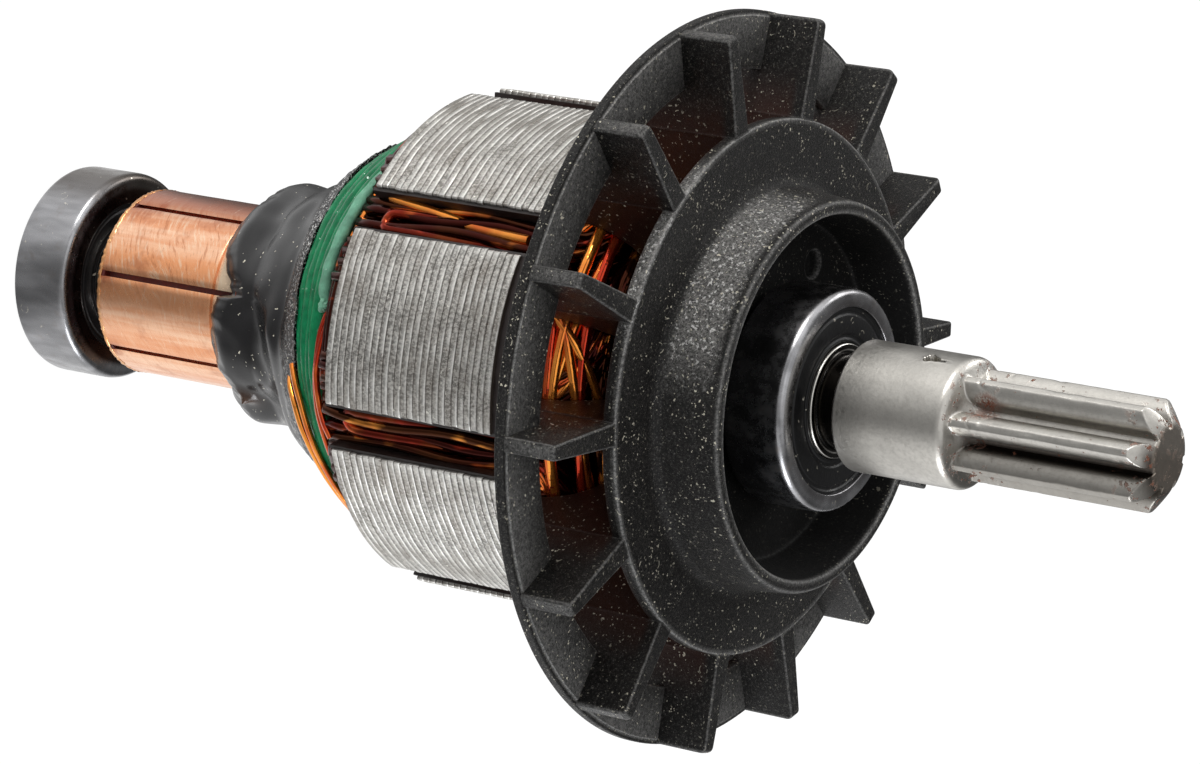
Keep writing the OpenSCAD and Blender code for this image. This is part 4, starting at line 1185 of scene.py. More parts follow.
class ARMATURE_OT_coils(bpy.types.Operator):
    """Winds the seven coils from single enamelled wires"""

    bl_idname = "armature.coils"
    bl_label = "Coils"

    def execute(self, context):
        sizes, colours = context.scene.armature_sizes, context.scene.armature_colours
        enamel, wire = wire_finish(colours), sizes.wire_width / MM
        rng = np.random.default_rng(77)
        for k in range(SLOTS):
            paths, in_slot = coil_paths(k, wire)
            middle = math.radians(FIRST_SLOT + (k + 1.5) * PITCH)
            side = np.array([math.cos(middle), math.sin(middle), 0.0])
            coil = tubes(paths, wire / 2, side, WIRE_SIDES, closed=True)
            depth = np.clip(rng.normal(0.2 + 0.5 * k / SLOTS, 0.3, len(paths)), 0, 1)
            tint = np.repeat(depth, paths.shape[1] * WIRE_SIDES)
            painted_shade = np.tile(np.repeat(in_slot, WIRE_SIDES), len(paths))
            make_piece(
                f"coil_{k + 1}_wires", [coil], enamel,
                stands_for=[f"coil_{k + 1}"], sharp=80, marks={"tint": tint, "painted_shade": painted_shade},
            )
        self.hairpins(enamel, wire)
        self.crown(enamel, wire)
        return {"FINISHED"}

    @staticmethod
    def hairpins(enamel, wire):
        """Lays a hairpin in three slot mouths, and one lone wire across another.

        A hairpin bends through a half circle over the middle eighth of its length, and its legs run on
        up the slot and draw together.
        """
        count, sides = 60, 8
        bend_share, bend_radius, leg_rise = 0.12, 0.85, 19.6
        loops = []
        for slot_at, start, sign in ((0, 46.6, 1), (6, 46.2, -1), (1, 45.9, -1)):
            t = np.linspace(-1, 1, count)
            bend = np.clip(np.abs(t) / bend_share, 0, 1) * np.pi / 2
            z = start + np.maximum(np.abs(t) - bend_share, 0) * leg_rise + bend_radius * (1 - np.cos(bend))
            y = sign * 0.3 + bend_radius * np.sin(np.sign(t) * bend)
            y -= sign * 0.5 * smoothstep((z - 52) / 10)
            x = 20.35 - 1.1 * smoothstep((z - 49) / 14) - 0.3 * smoothstep((47.5 - z) / 1.5)
            a = FIRST_SLOT + slot_at * PITCH + np.degrees(np.arctan2(y, x))
            loops.append(round_grid(np.hypot(x, y), a, z))
        lone_z = smooth_through([46.1, 47.0, 50.7, 56.1, 58.8, 61.2], count, 8)
        lone_deg = smooth_through([-120.7, -120.0, -118.4, -115.6, -115.1, -114.8], count, 8)
        loops.append(round_grid(20.25 + 0 * t, lone_deg, lone_z))
        loops = np.stack(loops)
        hairpins = tubes(loops, wire / 2, off_axis(loops), sides)
        # The hairpins are darkened as painted shade, the lone wire a little.
        marks = {"tint": [0.1, 0.1, 0.1, 0.65], "painted_shade": [0.85, 0.85, 0.85, 0.2]}
        make_piece(
            "slot_hairpins", [hairpins], enamel, sharp=80,
            marks={mark: np.repeat(values, count * sides) for mark, values in marks.items()},
        )

    @staticmethod
    def crown(enamel, wire):
        """Lays the proud top turns over the fan-end head, each from its slot to the third one on.

        With s from 0 to 1 and u the distance of s from the middle in halves, a turn climbs the dome's
        quarter ellipse to an angle of peak (1 - u^2.6).
        """
        coil = np.repeat(np.arange(SLOTS), 3)[:, None]
        lane = np.tile(np.arange(3), SLOTS)[:, None]
        rng = np.random.default_rng(401)
        loose = rng.normal(0, 1, (3, len(coil), 1))
        count, sides = 90, 8
        s = np.linspace(0, 1, count)[None, :]
        u = np.abs(2 * s - 1)
        peak = 20 + 21.0 * lane + 7.0 * (coil % 3) + 1.0 * loose[0]
        sway = 2.5 * np.sin(s * 9 + loose[1] * 3) * np.sin(np.pi * s)
        climb = np.radians(np.minimum(peak * (1 - u**2.6) + sway, 84))
        start = FIRST_SLOT + coil * PITCH + 4.0 + 5.0 * lane + loose[2]
        end = FIRST_SLOT + (coil + 3) * PITCH - 4.0 - 5.0 * lane - loose[1]
        swing = 0.35 * s + 0.65 * smoothstep(s)
        r = CROWN + DOME_REACH * np.cos(climb) - 0.15 - 0.25 * (coil % 2)
        z = DOME_FOOT + DOME_RISE * np.sin(climb) - 1.0 * smoothstep((u - 0.93) / 0.07) - 0.15
        paths = round_grid(r, start + (end - start) * swing, z)
        turns = tubes(paths, wire * 0.52, off_axis(paths), sides)
        tint = np.repeat(np.clip(0.55 + 0.35 * loose[0, :, 0], 0.05, 1.1), count * sides)
        make_piece(
            "crown_wires", [turns], enamel, sharp=80,
            marks={"tint": tint, "painted_shade": np.zeros(len(tint))},
        )


def sleeve_radius(z, lip):
    """The sleeve's mean outer radius: a lip that rounds off as a square root, a neck, then a bell."""
    neck = 9.3 + 1.55 * np.sin(np.pi / 2 * np.clip((z - 22.7) / 2.9, 0, 1))
    bell = neck + 0.35 * np.maximum(0, z - 28.4) ** 1.27
    past = np.clip(z - lip, 0, None)
    return np.minimum(bell, 9.12 + 1.15 * np.sqrt(past) + np.clip(past - 2.5, 0, None) ** 2)


def sleeve_lip(degrees):
    """Height of the sleeve's ragged rear edge at each angle."""
    known, height = np.transpose(
        [(-150, 23.1), (-129, 22.7), (-114, 22.9), (-104, 23.6), (-96, 24.5), (-91, 24.9)]
        + [(-89.1, 25.1), (-87.4, 23.5), (-84, 23.2), (-80, 23.1), (-72.6, 23.0), (-61, 22.8)]
        + [(-49, 23.1), (-40, 23.6), (-37.6, 24.4), (-35, 23.5), (-30, 23.2)]
    )
    d = (degrees - 30) % 360 - 330
    far = 23.1 + 0.35 * np.sin(np.radians(d * 3)) + 0.2 * np.sin(np.radians(d * 7 + 40))
    near = np.interp(d, known, height)
    share = smoothstep((d + 170) / 20) * smoothstep((-12 - d) / 18)
    fray = waves(np.radians(d)[:, None] * 9.0, 12, 0.6, 2.4)
    return far * (1 - share) + near * share + 0.1 * fray


class ARMATURE_OT_sleeve(bpy.types.Operator):
    """Builds the lumpy black sleeve with its ragged lip, ridges and point"""

    bl_idname = "armature.sleeve"
    bl_label = "Insulating sleeve"

    def execute(self, context):
        sizes, colours = context.scene.armature_sizes, context.scene.armature_colours
        wall = sizes.sleeve_wall / MM
        a = np.linspace(0, 360, 360, endpoint=False)
        lip = sleeve_lip(a)[None, :]
        s = np.linspace(0, 1, 84)[:, None]
        end = 37.0 + 0.12 * waves(np.radians(a)[:, None] * 16.0, 21, 2.0, 8.0)[None, :]
        end += 0.9 * smoothstep((turn_from(a, -100)) / 18) * smoothstep(-turn_from(a, -66) / 5)
        z = lip + (end - lip) * s
        place = spread(9 * np.cos(np.radians(a))[None, :], 9 * np.sin(np.radians(a))[None, :], z)
        d = turn_from(a, -135)[None, :]
        near = turn_from(a, -60)[None, :]
        mean = sleeve_radius(z, lip)
        lumps = 0.27 * waves(place, 31, 4.0, 11.0) + 0.05 * waves(place, 32, 1.5, 3.5)
        lumps += 0.09 * np.cos(np.radians(7 * (a + 63.4)))[None, :] * bump(z, 26.5, 2.2)
        upper = smoothstep((d + 62) / 30) * smoothstep((52 - d) / 36)
        lumps += upper * (0.42 * bump(z, 29.6 - 0.012 * d, 1.5) - 0.34 * bump(z, 32.9, 1.4))
        middle = smoothstep((turn_from(a, -104) + 34) / 20) * smoothstep((36 - turn_from(a, -104)) / 20)
        lumps += middle[None, :] * (0.28 * bump(z, 35.9, 0.8) - 0.42 * bump(z, 33.9, 1.0))
        lower = smoothstep((near + 34) / 20) * smoothstep((44 - near) / 24)
        lumps += lower * (0.42 * bump(z, 32.6 + 0.045 * near, 1.2) - 0.3 * bump(z, 30.2 + 0.04 * near, 1.4))
        tip_a, tip_z = -36.0, 26.4
        beside = np.radians(turn_from(a, tip_a))[None, :]
        off = np.hypot(beside * 11.0, (z - tip_z) * 0.95 - 0.25 * beside * 11.0)
        point = 1.15 * np.exp(-np.abs(off / 0.62) ** 1.25)
        lumps += point
        crust = smoothstep((z - 33.8) / 1.4)
        lumps += crust * (0.07 * waves(place * (16 / 9, 16 / 9, 1), 33, 0.45, 1.1, 60) + 0.05)
        grown = smoothstep((z - lip) / 0.9)
        outer = mean + lumps * grown
        inner_s = np.linspace(1, 0, 16)[:, None]
        inner_z = lip + (end - lip) * inner_s
        inner = np.maximum(sleeve_radius(inner_z, lip) - wall, 8.98)
        inner = np.minimum(inner, 9.02 + 20 * inner_s)
        grid = np.concatenate([round_grid(outer, a[None, :], z), round_grid(inner, a[None, :], inner_z)])
        stain = np.concatenate([np.clip(point * 1.3, 0, 1), np.zeros(inner.shape)])
        make_piece(
            "lead_sleeve", [shell(grid, True)], sleeve_finish(colours),
            stands_for=["insulating_sleeve"], sharp=70, marks={"stain": stain},
        )
        return {"FINISHED"}


def cone_radius(z):
    """Radius of the winding head under the lacing."""
    return 15.2 + (z - 37.0) * 3.4 / 6.1


STRAND_POINTS = 70
UPWARDS = np.array([0.0, 0.0, 1.0])


class ARMATURE_OT_lacing(bpy.types.Operator):
    """Lays the green strands round the head, with a pale strand, its knot and loose wires"""

    bl_idname = "armature.lacing"
    bl_label = "Green lacing"

    def execute(self, context):
        sizes, colours = context.scene.armature_sizes, context.scene.armature_colours
        count, half = sizes.strands, sizes.strand_width / MM / 2
        a = np.linspace(-180, 180, 360, endpoint=False)
        order = np.arange(count)[:, None] / (count - 1)
        known = [-150, -140, -125, -117, -107, -97, -90, -77, -69, -64, -50, -38, 0, 90]
        lowest = [37.9, 38.0, 37.75, 37.7, 37.75, 37.8, 37.95, 38.6, 39.1, 39.4, 39.5, 38.9, 37.8, 37.8]
        highest = [42.6, 41.9, 40.9, 40.5, 40.3, 40.45, 41.0, 41.1, 41.3, 41.5, 42.1, 42.6, 42.6, 42.6]
        band = np.stack([np.interp(a, known, level, period=360) for level in (lowest, highest)])
        for _ in range(30):
            band = (np.roll(band, 1, 1) + 2 * band + np.roll(band, -1, 1)) / 4
        sway = 0.16 * np.sin(np.radians(a * 4 + 50 + order * 160))
        sway = sway + 0.08 * np.sin(np.radians(a * 9 + order * 300))
        room = band[1] - band[0]
        z = band[0] + room * order + sway * (0.4 + 0.6 * smoothstep((room - 2) / 2))
        r = cone_radius(z) + 0.34 + 0.07 * np.sin(np.radians(a * 5 + order * 500))
        paths = round_grid(r, a, z)
        sides, flat = 16, 0.72
        green = tubes(paths, half * flat, UPWARDS, sides, closed=True, stretch=1 / flat)
        grain = 0.03 * waves(green[0], 51, 1.0, 3.0, 40)[:, None]
        green = green[0] + off_axis(green[0]) * grain, green[1]
        # The strands' edges, which the varnish darkens as painted shade.
        edge = np.abs(np.sin(np.linspace(0, 2 * np.pi, sides, endpoint=False)))
        varnish = varnish_finish("Green varnish", colours.lacing, 0.12, 0.14, 0.12)
        make_piece(
            "lacing_strands", [green], varnish,
            stands_for=["green_lacing"], sharp=80, marks={"edge": np.tile(edge, count * len(a))},
        )
        self.pale_strand(colours)
        self.loose_wires(colours, sizes.wire_width / MM)
        return {"FINISHED"}

    @staticmethod
    def strand(at_deg, at_z, at_r):
        """A path through points round the shaft, as one row of points."""
        degrees, z, r = (smooth_through(keys, STRAND_POINTS, 6) for keys in (at_deg, at_z, at_r))
        return round_grid(r, degrees, z)[None]

    def pale_strand(self, colours):
        """Lays the pale strand along the core's edge, and ties its knot from three small rings."""
        pale_path = self.strand(
            [-139, -131, -124.1, -119.8, -113.6, -106.7, -100.8, -96.6, -93.5, -91],
            [44.0, 43.95, 43.4, 42.95, 42.65, 42.4, 42.25, 42.2, 42.25, 42.7],
            [19.6, 19.8, 20.0, 19.95, 19.85, 19.75, 19.7, 19.6, 19.4, 18.9],
        )
        t = np.linspace(0, 1, STRAND_POINTS)
        pale = varnish_finish("Pale strand", colours.lacing_pale, 0.4, 0.05, 0.25)
        strand_shell = tubes(pale_path, 0.52 + 0.03 * np.sin(t * 40), UPWARDS, 12)
        turn = np.linspace(0, 2 * np.pi, 40, endpoint=False)
        knots = []
        for tilt, size in ((0.3, 0.42), (1.4, 0.38), (2.4, 0.4)):
            x, y = size * np.cos(turn), size * np.sin(turn)
            ring = np.stack([x, y * math.cos(tilt), y * math.sin(tilt)], 1)
            knots.append(ring + (19.35, 0.1 * tilt, 42.5))
        knot_paths = spun(np.stack(knots), -91.2)
        knot_side = np.array([0.3, 0.5, 0.81])
        knot = tubes(knot_paths, 0.24, knot_side, 8, closed=True)
        total = len(strand_shell[0]) + len(knot[0])
        make_piece(
            "lacing_pale_strand", [strand_shell, knot], pale, sharp=80,
            marks={"edge": np.zeros(total)},
        )

    def loose_wires(self, colours, wire):
        """Lays single wires beside the lacing, and three turns round each tooth's foot, darkened as painted
        shade.

        Each wire is given by its angles, heights and radii, and its thickness and tint.
        """
        gold = wire_finish(colours)
        gold.name = "Loose wire"
        sides = 8
        wires = (
            ([-67, -65, -61, -55, -49, -40, -28, -14], [36.2, 37.0, 38.1, 38.8, 39.5, 40.5, 41.9, 43.2],
             [15.1, 16.3, 17.3, 17.8, 18.1, 18.5, 19.0, 19.4], 0.3, 1.1),
            ([-72, -67, -62, -56, -50, -41, -28, -14], [37.5, 38.4, 39.2, 39.8, 40.4, 41.4, 42.8, 43.9],
             [16.5, 17.3, 17.8, 18.2, 18.5, 18.9, 19.5, 19.8], 0.28, 0.55),
            ([-126, -118, -111, -105, -97, -90, -83, -77],
             [44.1, 43.85, 43.65, 43.45, 43.4, 43.4, 43.4, 43.3],
             [19.9, 19.8, 19.8, 19.8, 19.8, 19.8, 19.8, 19.6], 0.24, 0.6),
            ([-90, -84, -79, -74, -69, -64, -61, -58], [43.9, 43.2, 42.8, 42.5, 42.6, 42.9, 43.3, 43.8],
             [20.0, 19.9, 19.8, 19.7, 19.7, 19.8, 20.0, 20.1], 0.27, 0.2),
            ([-142, -132, -124, -116, -109, -103, -98, -94],
             [43.3, 42.9, 42.45, 42.0, 41.75, 41.6, 41.65, 41.9],
             [19.5, 19.4, 19.2, 19.0, 18.9, 18.8, 18.7, 18.5], 0.2, 0.7),
            ([-90, -84, -78, -73, -68, -63, -58, -52], [42.9, 42.3, 42.1, 41.9, 41.9, 42.1, 42.5, 43.0],
             [19.3, 19.2, 19.1, 19.0, 19.0, 19.2, 19.4, 19.6], 0.25, 0.1),
        )
        runs = np.concatenate([self.strand(*row[:3]) for row in wires])
        thick, tint = (np.array([row[i] for row in wires]) for i in (3, 4))
        loose = tubes(runs, thick[:, None], off_axis(runs), sides)
        tint = np.repeat(tint, STRAND_POINTS * sides)
        lane = np.arange(3)[None, :, None]
        tooth = np.arange(SLOTS)[:, None, None]
        t = np.linspace(0.05, 0.95, 40)
        lift = smoothstep(np.sin(np.pi * t) / 0.55)
        drift = 0.12 * np.sin(np.pi * 2 * t + lane * 2.1 + tooth * 1.7)
        round_tooth = round_grid(
            18.2 + (1.95 - 0.16 * lane) * lift + 0.06 * drift,
            FIRST_SLOT + PITCH * (tooth + t),
            45.9 - (1.35 + 0.5 * lane) * lift + drift,
        ).reshape(SLOTS * 3, len(t), 3)
        turns = tubes(round_tooth, wire / 2, round_tooth * (1, 1, 0), sides)
        turn_tint = np.repeat(np.random.default_rng(78).uniform(0.0, 0.3, SLOTS * 3), len(t) * sides)
        # The turns round the teeth are darkened as painted shade.
        painted_shade = np.concatenate([np.zeros(len(tint)), np.full(len(turn_tint), 1.1)])
        make_piece(
            "loose_wires", [loose, turns], gold, sharp=80,
            marks={"tint": np.concatenate([tint, turn_tint]), "painted_shade": painted_shade},
        )


def blade_shell(edge):
    """One straight blade along +X: a rounded rectangle across, carried outwards.

    Its lower edge runs over the winding's dome, down a web and up a slope to the rim plate. Its
    width thins from the hub disc's edge to the tip, with a fine parting line where that starts. Its
    front corner drops by a quarter circle near the tip, and its sides draw in over the last edge.
    """
    tip, corner, gap, hub = 31.4, 0.6, 0.35, HUB_DISC
    bend = np.radians([75, 60, 45, 30, 15])
    dome = CROWN + (DOME_REACH + gap) * np.cos(bend)
    low_x = np.concatenate([[9.5, 13.6], dome, [19.75, 24.3, 28.4, tip]])
    dome = DOME_FOOT + (DOME_RISE + gap) * np.sin(bend)
    low_z = np.concatenate([[70.8, 70.8], dome, [64.6, 64.6, 69.825, 69.825]])
    by_hub = hub + np.array([-0.12, -0.04, 0.04, 0.12])
    by_tip = [30.5, 30.8, 30.95, 31.08, 31.18, 31.26, 31.33, 31.38, tip]
    inner, outer = np.linspace(9.55, 20.85, 44), np.linspace(23.3, 30.2, 28)
    x = np.concatenate([inner, [20.95, 21.6, 22.3], by_hub, outer, by_tip])
    half = np.interp(x, [9.5, hub, tip], [1.0, 1.0, 0.65]) + 0.05 * (np.abs(x - hub) < 0.1)
    past = np.clip((x - (tip - edge)) / edge, 0, 1)
    half = half - edge * (1 - np.sqrt(1 - past**2)) * 0.8
    round_corner = np.minimum(np.clip((x - (tip - corner)) / corner, 0, 1), 0.985)
    top = np.where(x < 20.9, 74.55, 75.17) - corner * (1 - np.sqrt(1 - round_corner**2))
    low = np.interp(x, low_x, low_z)
    bend = np.radians(np.linspace(0, 90, 5))
    sides = np.array([(1, 1), (-1, 1), (-1, -1), (1, -1)])
    y, z, lit = [], [], []
    for i, (sy, sz) in enumerate(sides):
        turn = bend if i % 2 == 0 else bend[::-1]
        # lit marks the top edges' roundings, the tip and the parting line, where the fan's finish paints
        # highlights.
        lit.append(np.broadcast_to(np.sin(2 * turn) * (sz > 0), (len(x), len(turn))))
        y.append(sy * (half[:, None] - edge * (1 - np.cos(turn))[None, :]))
        side_z = top if sz > 0 else low
        z.append(side_z[:, None] - sz * edge * (1 - np.sin(turn))[None, :])
    y, z, lit = np.concatenate(y, 1), np.concatenate(z, 1), np.concatenate(lit, 1)
    lit = np.maximum(lit, bump(x, tip - 0.12, 0.12)[:, None])
    lit = np.maximum(lit, 0.6 * (np.abs(x - hub) < 0.1)[:, None])
    return np.stack([np.broadcast_to(x[:, None], y.shape), y, z], -1), lit


class ARMATURE_OT_fan(bpy.types.Operator):
    """Builds the fan: rim plate, fourteen blades, and the hub disc with its bearing collar"""

    bl_idname = "armature.fan"
    bl_label = "Fan moulding"

    def execute(self, context):
        sizes, colours = context.scene.armature_sizes, context.scene.armature_colours
        edge = sizes.moulding_edge / MM
        turn = np.linspace(0, 360, 240, endpoint=False)
        rim = rounded(
            [(26.5, 69.3), (31.5, 69.3), (31.5, 70.24), (31.08, 70.24), (31.0, 70.35), (26.5, 70.35)],
            [edge, edge, edge, 0.0, 0.04, edge], 5,
        )
        shells = [shell(turned(rim, turn), True)]
        # Painted highlights along the rim's top edges.
        top = rim[:, 1] > 70
        near_line = bump(rim[:, 0], 31.04, 0.1) * top + 0.5 * bump(rim[:, 0], 26.55, 0.12) * top
        edges = [np.repeat(near_line, len(turn))]
        blade, lit = blade_shell(edge)
        shells += [shell(spun(blade, FIRST_BLADE + i * 360 / BLADES)) for i in range(BLADES)]
        edges += [0.5 * lit.ravel()] * BLADES
        plain = np.zeros(sum(len(e) for e in edges))
        floor = 75.7
        outline = rounded(
            [(4.0, 72.9), (7.4, 72.9), (8.4, 73.95), (HUB_DISC, 73.95), (HUB_DISC, 75.2)]
            + [(17.25, 75.2), (16.65, 81.0), (15.62, 81.0), (15.45, 80.6), (14.6, floor)]
            + [(r, floor) for r in np.linspace(13, 10, 31)]
            + [(5.4, floor), (5.4, FRONT_BEARING_Z), (4.0, FRONT_BEARING_Z)],
            [0.1, 0.2, 0.3, edge, edge, 1.0, 0.5, 0.2, 0.2, 0.55] + [0.0] * 31 + [0.2, 0.2, 0.05],
            7,
        )
        outline = refined(outline, 0.5)
        dimple_at, dimple_deg, dimple_r = 11.5, 163.9, 1.2
        close = dimple_deg + np.linspace(-7.5, 7.5, 41)
        a = np.unique(np.round(np.concatenate([turn, close]) % 360, 4))
        grid = turned(outline, a)
        dimple_turn = math.radians(dimple_deg)
        centre = np.array([math.cos(dimple_turn), math.sin(dimple_turn)]) * dimple_at
        off = np.linalg.norm(grid[..., :2] - centre, axis=-1)
        on_floor = np.abs(grid[..., 2] - floor) < 0.02
        grid[..., 2] -= np.where(on_floor, 0.8 * smoothstep((dimple_r + 0.15 - off) / 0.45), 0)
        shells.append(shell(grid, True))
        # Painted highlights at the hub's corners, in the recess's corner and round the dimple's rim.
        corners = np.array([(22.85, 75.15), (16.6, 80.95), (15.65, 80.95), (5.45, 76.65)])
        to_corner = np.linalg.norm(outline[:, None] - corners[None], axis=-1).min(1)
        in_recess = 0.4 * bump(np.hypot(outline[:, 0] - 14.7, outline[:, 1] - 75.85), 0.0, 0.14)
        round_dimple = 0.5 * bump(off, dimple_r + 0.05, 0.1) * on_floor
        edges.append(np.maximum((bump(to_corner, 0.0, 0.16) + in_recess)[:, None], round_dimple).ravel())
        r, z = outline[:, :1], outline[:, 1:]
        # Where the finish paints a highlight: the collar's wall near -124 degrees and the disc's edge near
        # -116 degrees.
        wall = smoothstep((z - 75.5) / 0.6) * smoothstep((80.5 - z) / 0.9) * (r > 16.2)
        painted_highlight = wall * smoothstep((44 - np.abs(turn_from(a, -124))) / 24)
        painted_highlight = painted_highlight + (r > 22.5) * smoothstep((26 - np.abs(turn_from(a, -116))) / 12)
        # Painted shade in the recess inside the collar.
        painted_recess_shade = ((r < 15.5) & (z > 75.4)) * smoothstep((80.9 - z) / 0.5) + 0 * painted_highlight
        piece = make_piece(
            "fan_moulding", shells, plastic_finish(colours), stands_for=["fan"], sharp=42,
            marks={
                "edge": np.concatenate(edges),
                "painted_highlight": np.concatenate([plain, painted_highlight.ravel()]),
                "painted_recess_shade": np.concatenate([plain, painted_recess_shade.ravel()]),
            },
        )
        weight_normals(piece)
        return {"FINISHED"}


def cog_radius(degrees):
    """The toothed outline as a radius at each angle from a tooth's middle.

    At radius r a tooth reaches 17.3 degrees less the involute of r to each side. The tip and the root
    meet this flank in small fillets.
    """
    base, root, half = 3.289, 2.6, 17.3
    r = np.linspace(base, 5.7, 120)
    lean = np.arccos(base / r)
    covers = half - np.degrees(np.tan(lean) - lean)
    away = np.abs(degrees)
    covers = np.concatenate([covers[::-1], [18.6, 20.5]])
    flank = np.interp(away, covers, np.concatenate([r[::-1], [2.8, 2.2]]))
    return soft_max(soft_min(flank, COG_TIP, 0.09), root, 0.3)


def shoulder_radius(z):
    """Radius of the shoulder between sleeve and teeth: a rounding, a slope, then a hollow run-out."""
    rounded_to, sloped_to, hollow_to = 95.443, 95.807, 98.25
    rounding = 4.78 + np.sqrt(np.clip(0.64 - np.clip(z - ROUNDING_Z, 0, 0.7) ** 2, 0, None))
    slope = 5.17 + (z - rounded_to) * (4.161 - 5.17) / (sloped_to - rounded_to)
    hollow = 5.05 - np.sqrt(np.clip(6.76 - (hollow_to - z) ** 2, 0, None))
    r = np.where(z < rounded_to, rounding, np.where(z < sloped_to, slope, hollow))
    return np.where(z > hollow_to, 0.0, r)


class ARMATURE_OT_pinion(bpy.types.Operator):
    """Builds the pinion: sleeve with a vent, shoulder with the cutter's run-out, bevelled teeth"""

    bl_idname = "armature.pinion"
    bl_label = "Pinion"

    def execute(self, context):
        colours = context.scene.armature_colours
        low, sleeve_end, top, nose, bevel = 84.95, 94.95, 113.5, 2.75, 1.45
        half = np.array(
            [0, 1.6, 2.6, 3.2, 3.6, 4.0, 4.5, 5.2, 6.2, 7.6, 9.2]
            + [11, 12.8, 14.4, 15.8, 17.0, 17.9, 18.8, 20, 22, 24]
        )
        tooth = np.unique(np.concatenate([half, -half[1:], [COG_PITCH / 2]]))
        vent_deg, vent_z, vent_r = -147.6, 92.1, 0.46
        by_vent = vent_deg + np.linspace(-6, 6, 25)
        a = np.concatenate([tooth + FIRST_COG + i * COG_PITCH for i in range(COGS)] + [by_vent])
        a = np.unique(np.round(a % 360, 3))
        a = a[np.concatenate([[True], np.diff(a) > 0.12])]
        z = np.concatenate(
            [
                [85.15, 85.2], np.linspace(86, 91, 8), np.linspace(91.3, 92.9, 17), [93.5, 94.2, 94.7],
                np.linspace(94.8, 98.4, 44), np.linspace(98.9, 111.7, 24), np.linspace(111.9, top, 20),
            ]
        )[:, None]
        nearest = FIRST_COG + np.round(turn_from(a, FIRST_COG) / COG_PITCH) * COG_PITCH
        cog = cog_radius(turn_from(a, nearest))[None, :]
        toothed = soft_max(cog + 0 * z, shoulder_radius(z), 0.14)
        bevelled = soft_min(toothed, nose + (top - z) * (COG_TIP - nose) / bevel, 0.08)
        sleeve = np.minimum(PINION_SLEEVE, shoulder_radius(np.maximum(z, ROUNDING_Z)))
        r = np.where(z <= sleeve_end, sleeve, bevelled)
        surface = spread(np.radians(turn_from(a, vent_deg))[None, :] * PINION_SLEEVE, z - vent_z)
        side, up = surface[..., 0], surface[..., 1]
        away = np.hypot(side, up * 0.72) * (1 + 0.22 * np.sin(3 * np.arctan2(up, side) + 0.7))
        r = r - 1.5 * smoothstep((vent_r + 0.05 - away) / 0.12) + 0.03 * bump(away, vent_r + 0.12, 0.1)
        dents = waves(spread(np.radians(a)[None, :] * 4.7, z), 71, 0.5, 1.6, 40)
        r = r - 0.06 * np.clip(dents - 0.5, 0, None) * (r > 4.3) * (z > sleeve_end + 1)
        r = r - 0.25 * (1 - np.sqrt(1 - np.clip((z - top + 0.3) / 0.3, 0, 1) ** 2))
        outer = round_grid(r, a[None, :], z)
        inner_r = np.array([3.0, 3.0, 3.12, 5.38, 5.46])
        inner_z = np.array([93.0, 85.1, low, low, 85.0])
        inner = round_grid(inner_r[:, None], a[None, :], inner_z[:, None])
        last = np.array([0.985, 0.93, 0.6])[:, None] * r[-1][None, :]
        end = round_grid(last, a[None, :], np.array([top, top, top])[:, None])
        piece = make_piece(
            "pinion_cut", [shell(np.concatenate([inner, outer, end]))], pinion_finish(colours),
            stands_for=["pinion"], sharp=44,
        )
        weight_normals(piece)
        return {"FINISHED"}


class ARMATURE_OT_shaft(bpy.types.Operator):
    """Builds the stepped shaft"""

    bl_idname = "armature.shaft"
    bl_label = "Shaft"

    def execute(self, context):
        outline = rounded(
            [(0.4, 0.3), (3.5, 0.3), (3.5, 6.0), (4.0, 6.0), (4.0, 84.95), (3.0, 84.95)]
            + [(3.0, 92.5), (0.4, 92.5)],
            [0, 0.35, 0.05, 0.15, 0.05, 0.05, 0.35, 0],
            5,
        )
        order = np.argmin(np.abs(outline[:, 0] - 0.4) + np.abs(outline[:, 1] - 0.3))
        outline = np.roll(outline, -order, 0)
        grid = turned(outline, FULL_TURN)
        steel = steel_finish("Shaft steel", (0.55, 0.54, 0.53), 0.16, 0.000004, 0.1, 0.0826)
        piece = make_piece("shaft_turned", [shell(grid)], steel, stands_for=["shaft"])
        weight_normals(piece)
        return {"FINISHED"}


class ARMATURE_OT_small_parts(bpy.types.Operator):
    """Gives the solids that stay as they are their own finishes"""

    bl_idname = "armature.small_parts"
    bl_label = "Finishes of the inner parts"

    def execute(self, context):
        colours = context.scene.armature_colours
        fibre = matt_finish("Fibre", colours.fibre, 0.42, 900.0, 0.00003, 1.7, 0.01)
        hub = matt_finish("Slit moulding", colours.hub, 0.55, 1200.0, 0.00003, 1.8, 0.0)
        varnished = matt_finish("Set leads", (0.16, 0.03, 0.012), 0.25, 900.0, 0.0001, 2.0, 0.0)
        ball = steel_finish("Ball steel", (0.75, 0.75, 0.76), 0.08, 0.000001, 0.02)
        brass = steel_finish("Cage brass", (0.72, 0.55, 0.28), 0.3, 0.000004, 0.2)
        finishes = {"commutator_hub": hub, "coil_leads": varnished}
        finishes.update({f"slot_liner_{k + 1}": fibre for k in range(SLOTS)})
        for part, finish in (("end_disc", fibre), ("shaft_tube", fibre), ("balls", ball), ("cage", brass)):
            finishes.update({f"{end}_{part}": finish for end in ENDS})
        for node, finish in finishes.items():
            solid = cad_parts[node]
            if not solid.material_slots:
                raise RuntimeError(f"{node} has no material slot")
            for slot in solid.material_slots:
                slot.material = finish
        return {"FINISHED"}


# ---------------------------------------------------------------- stage


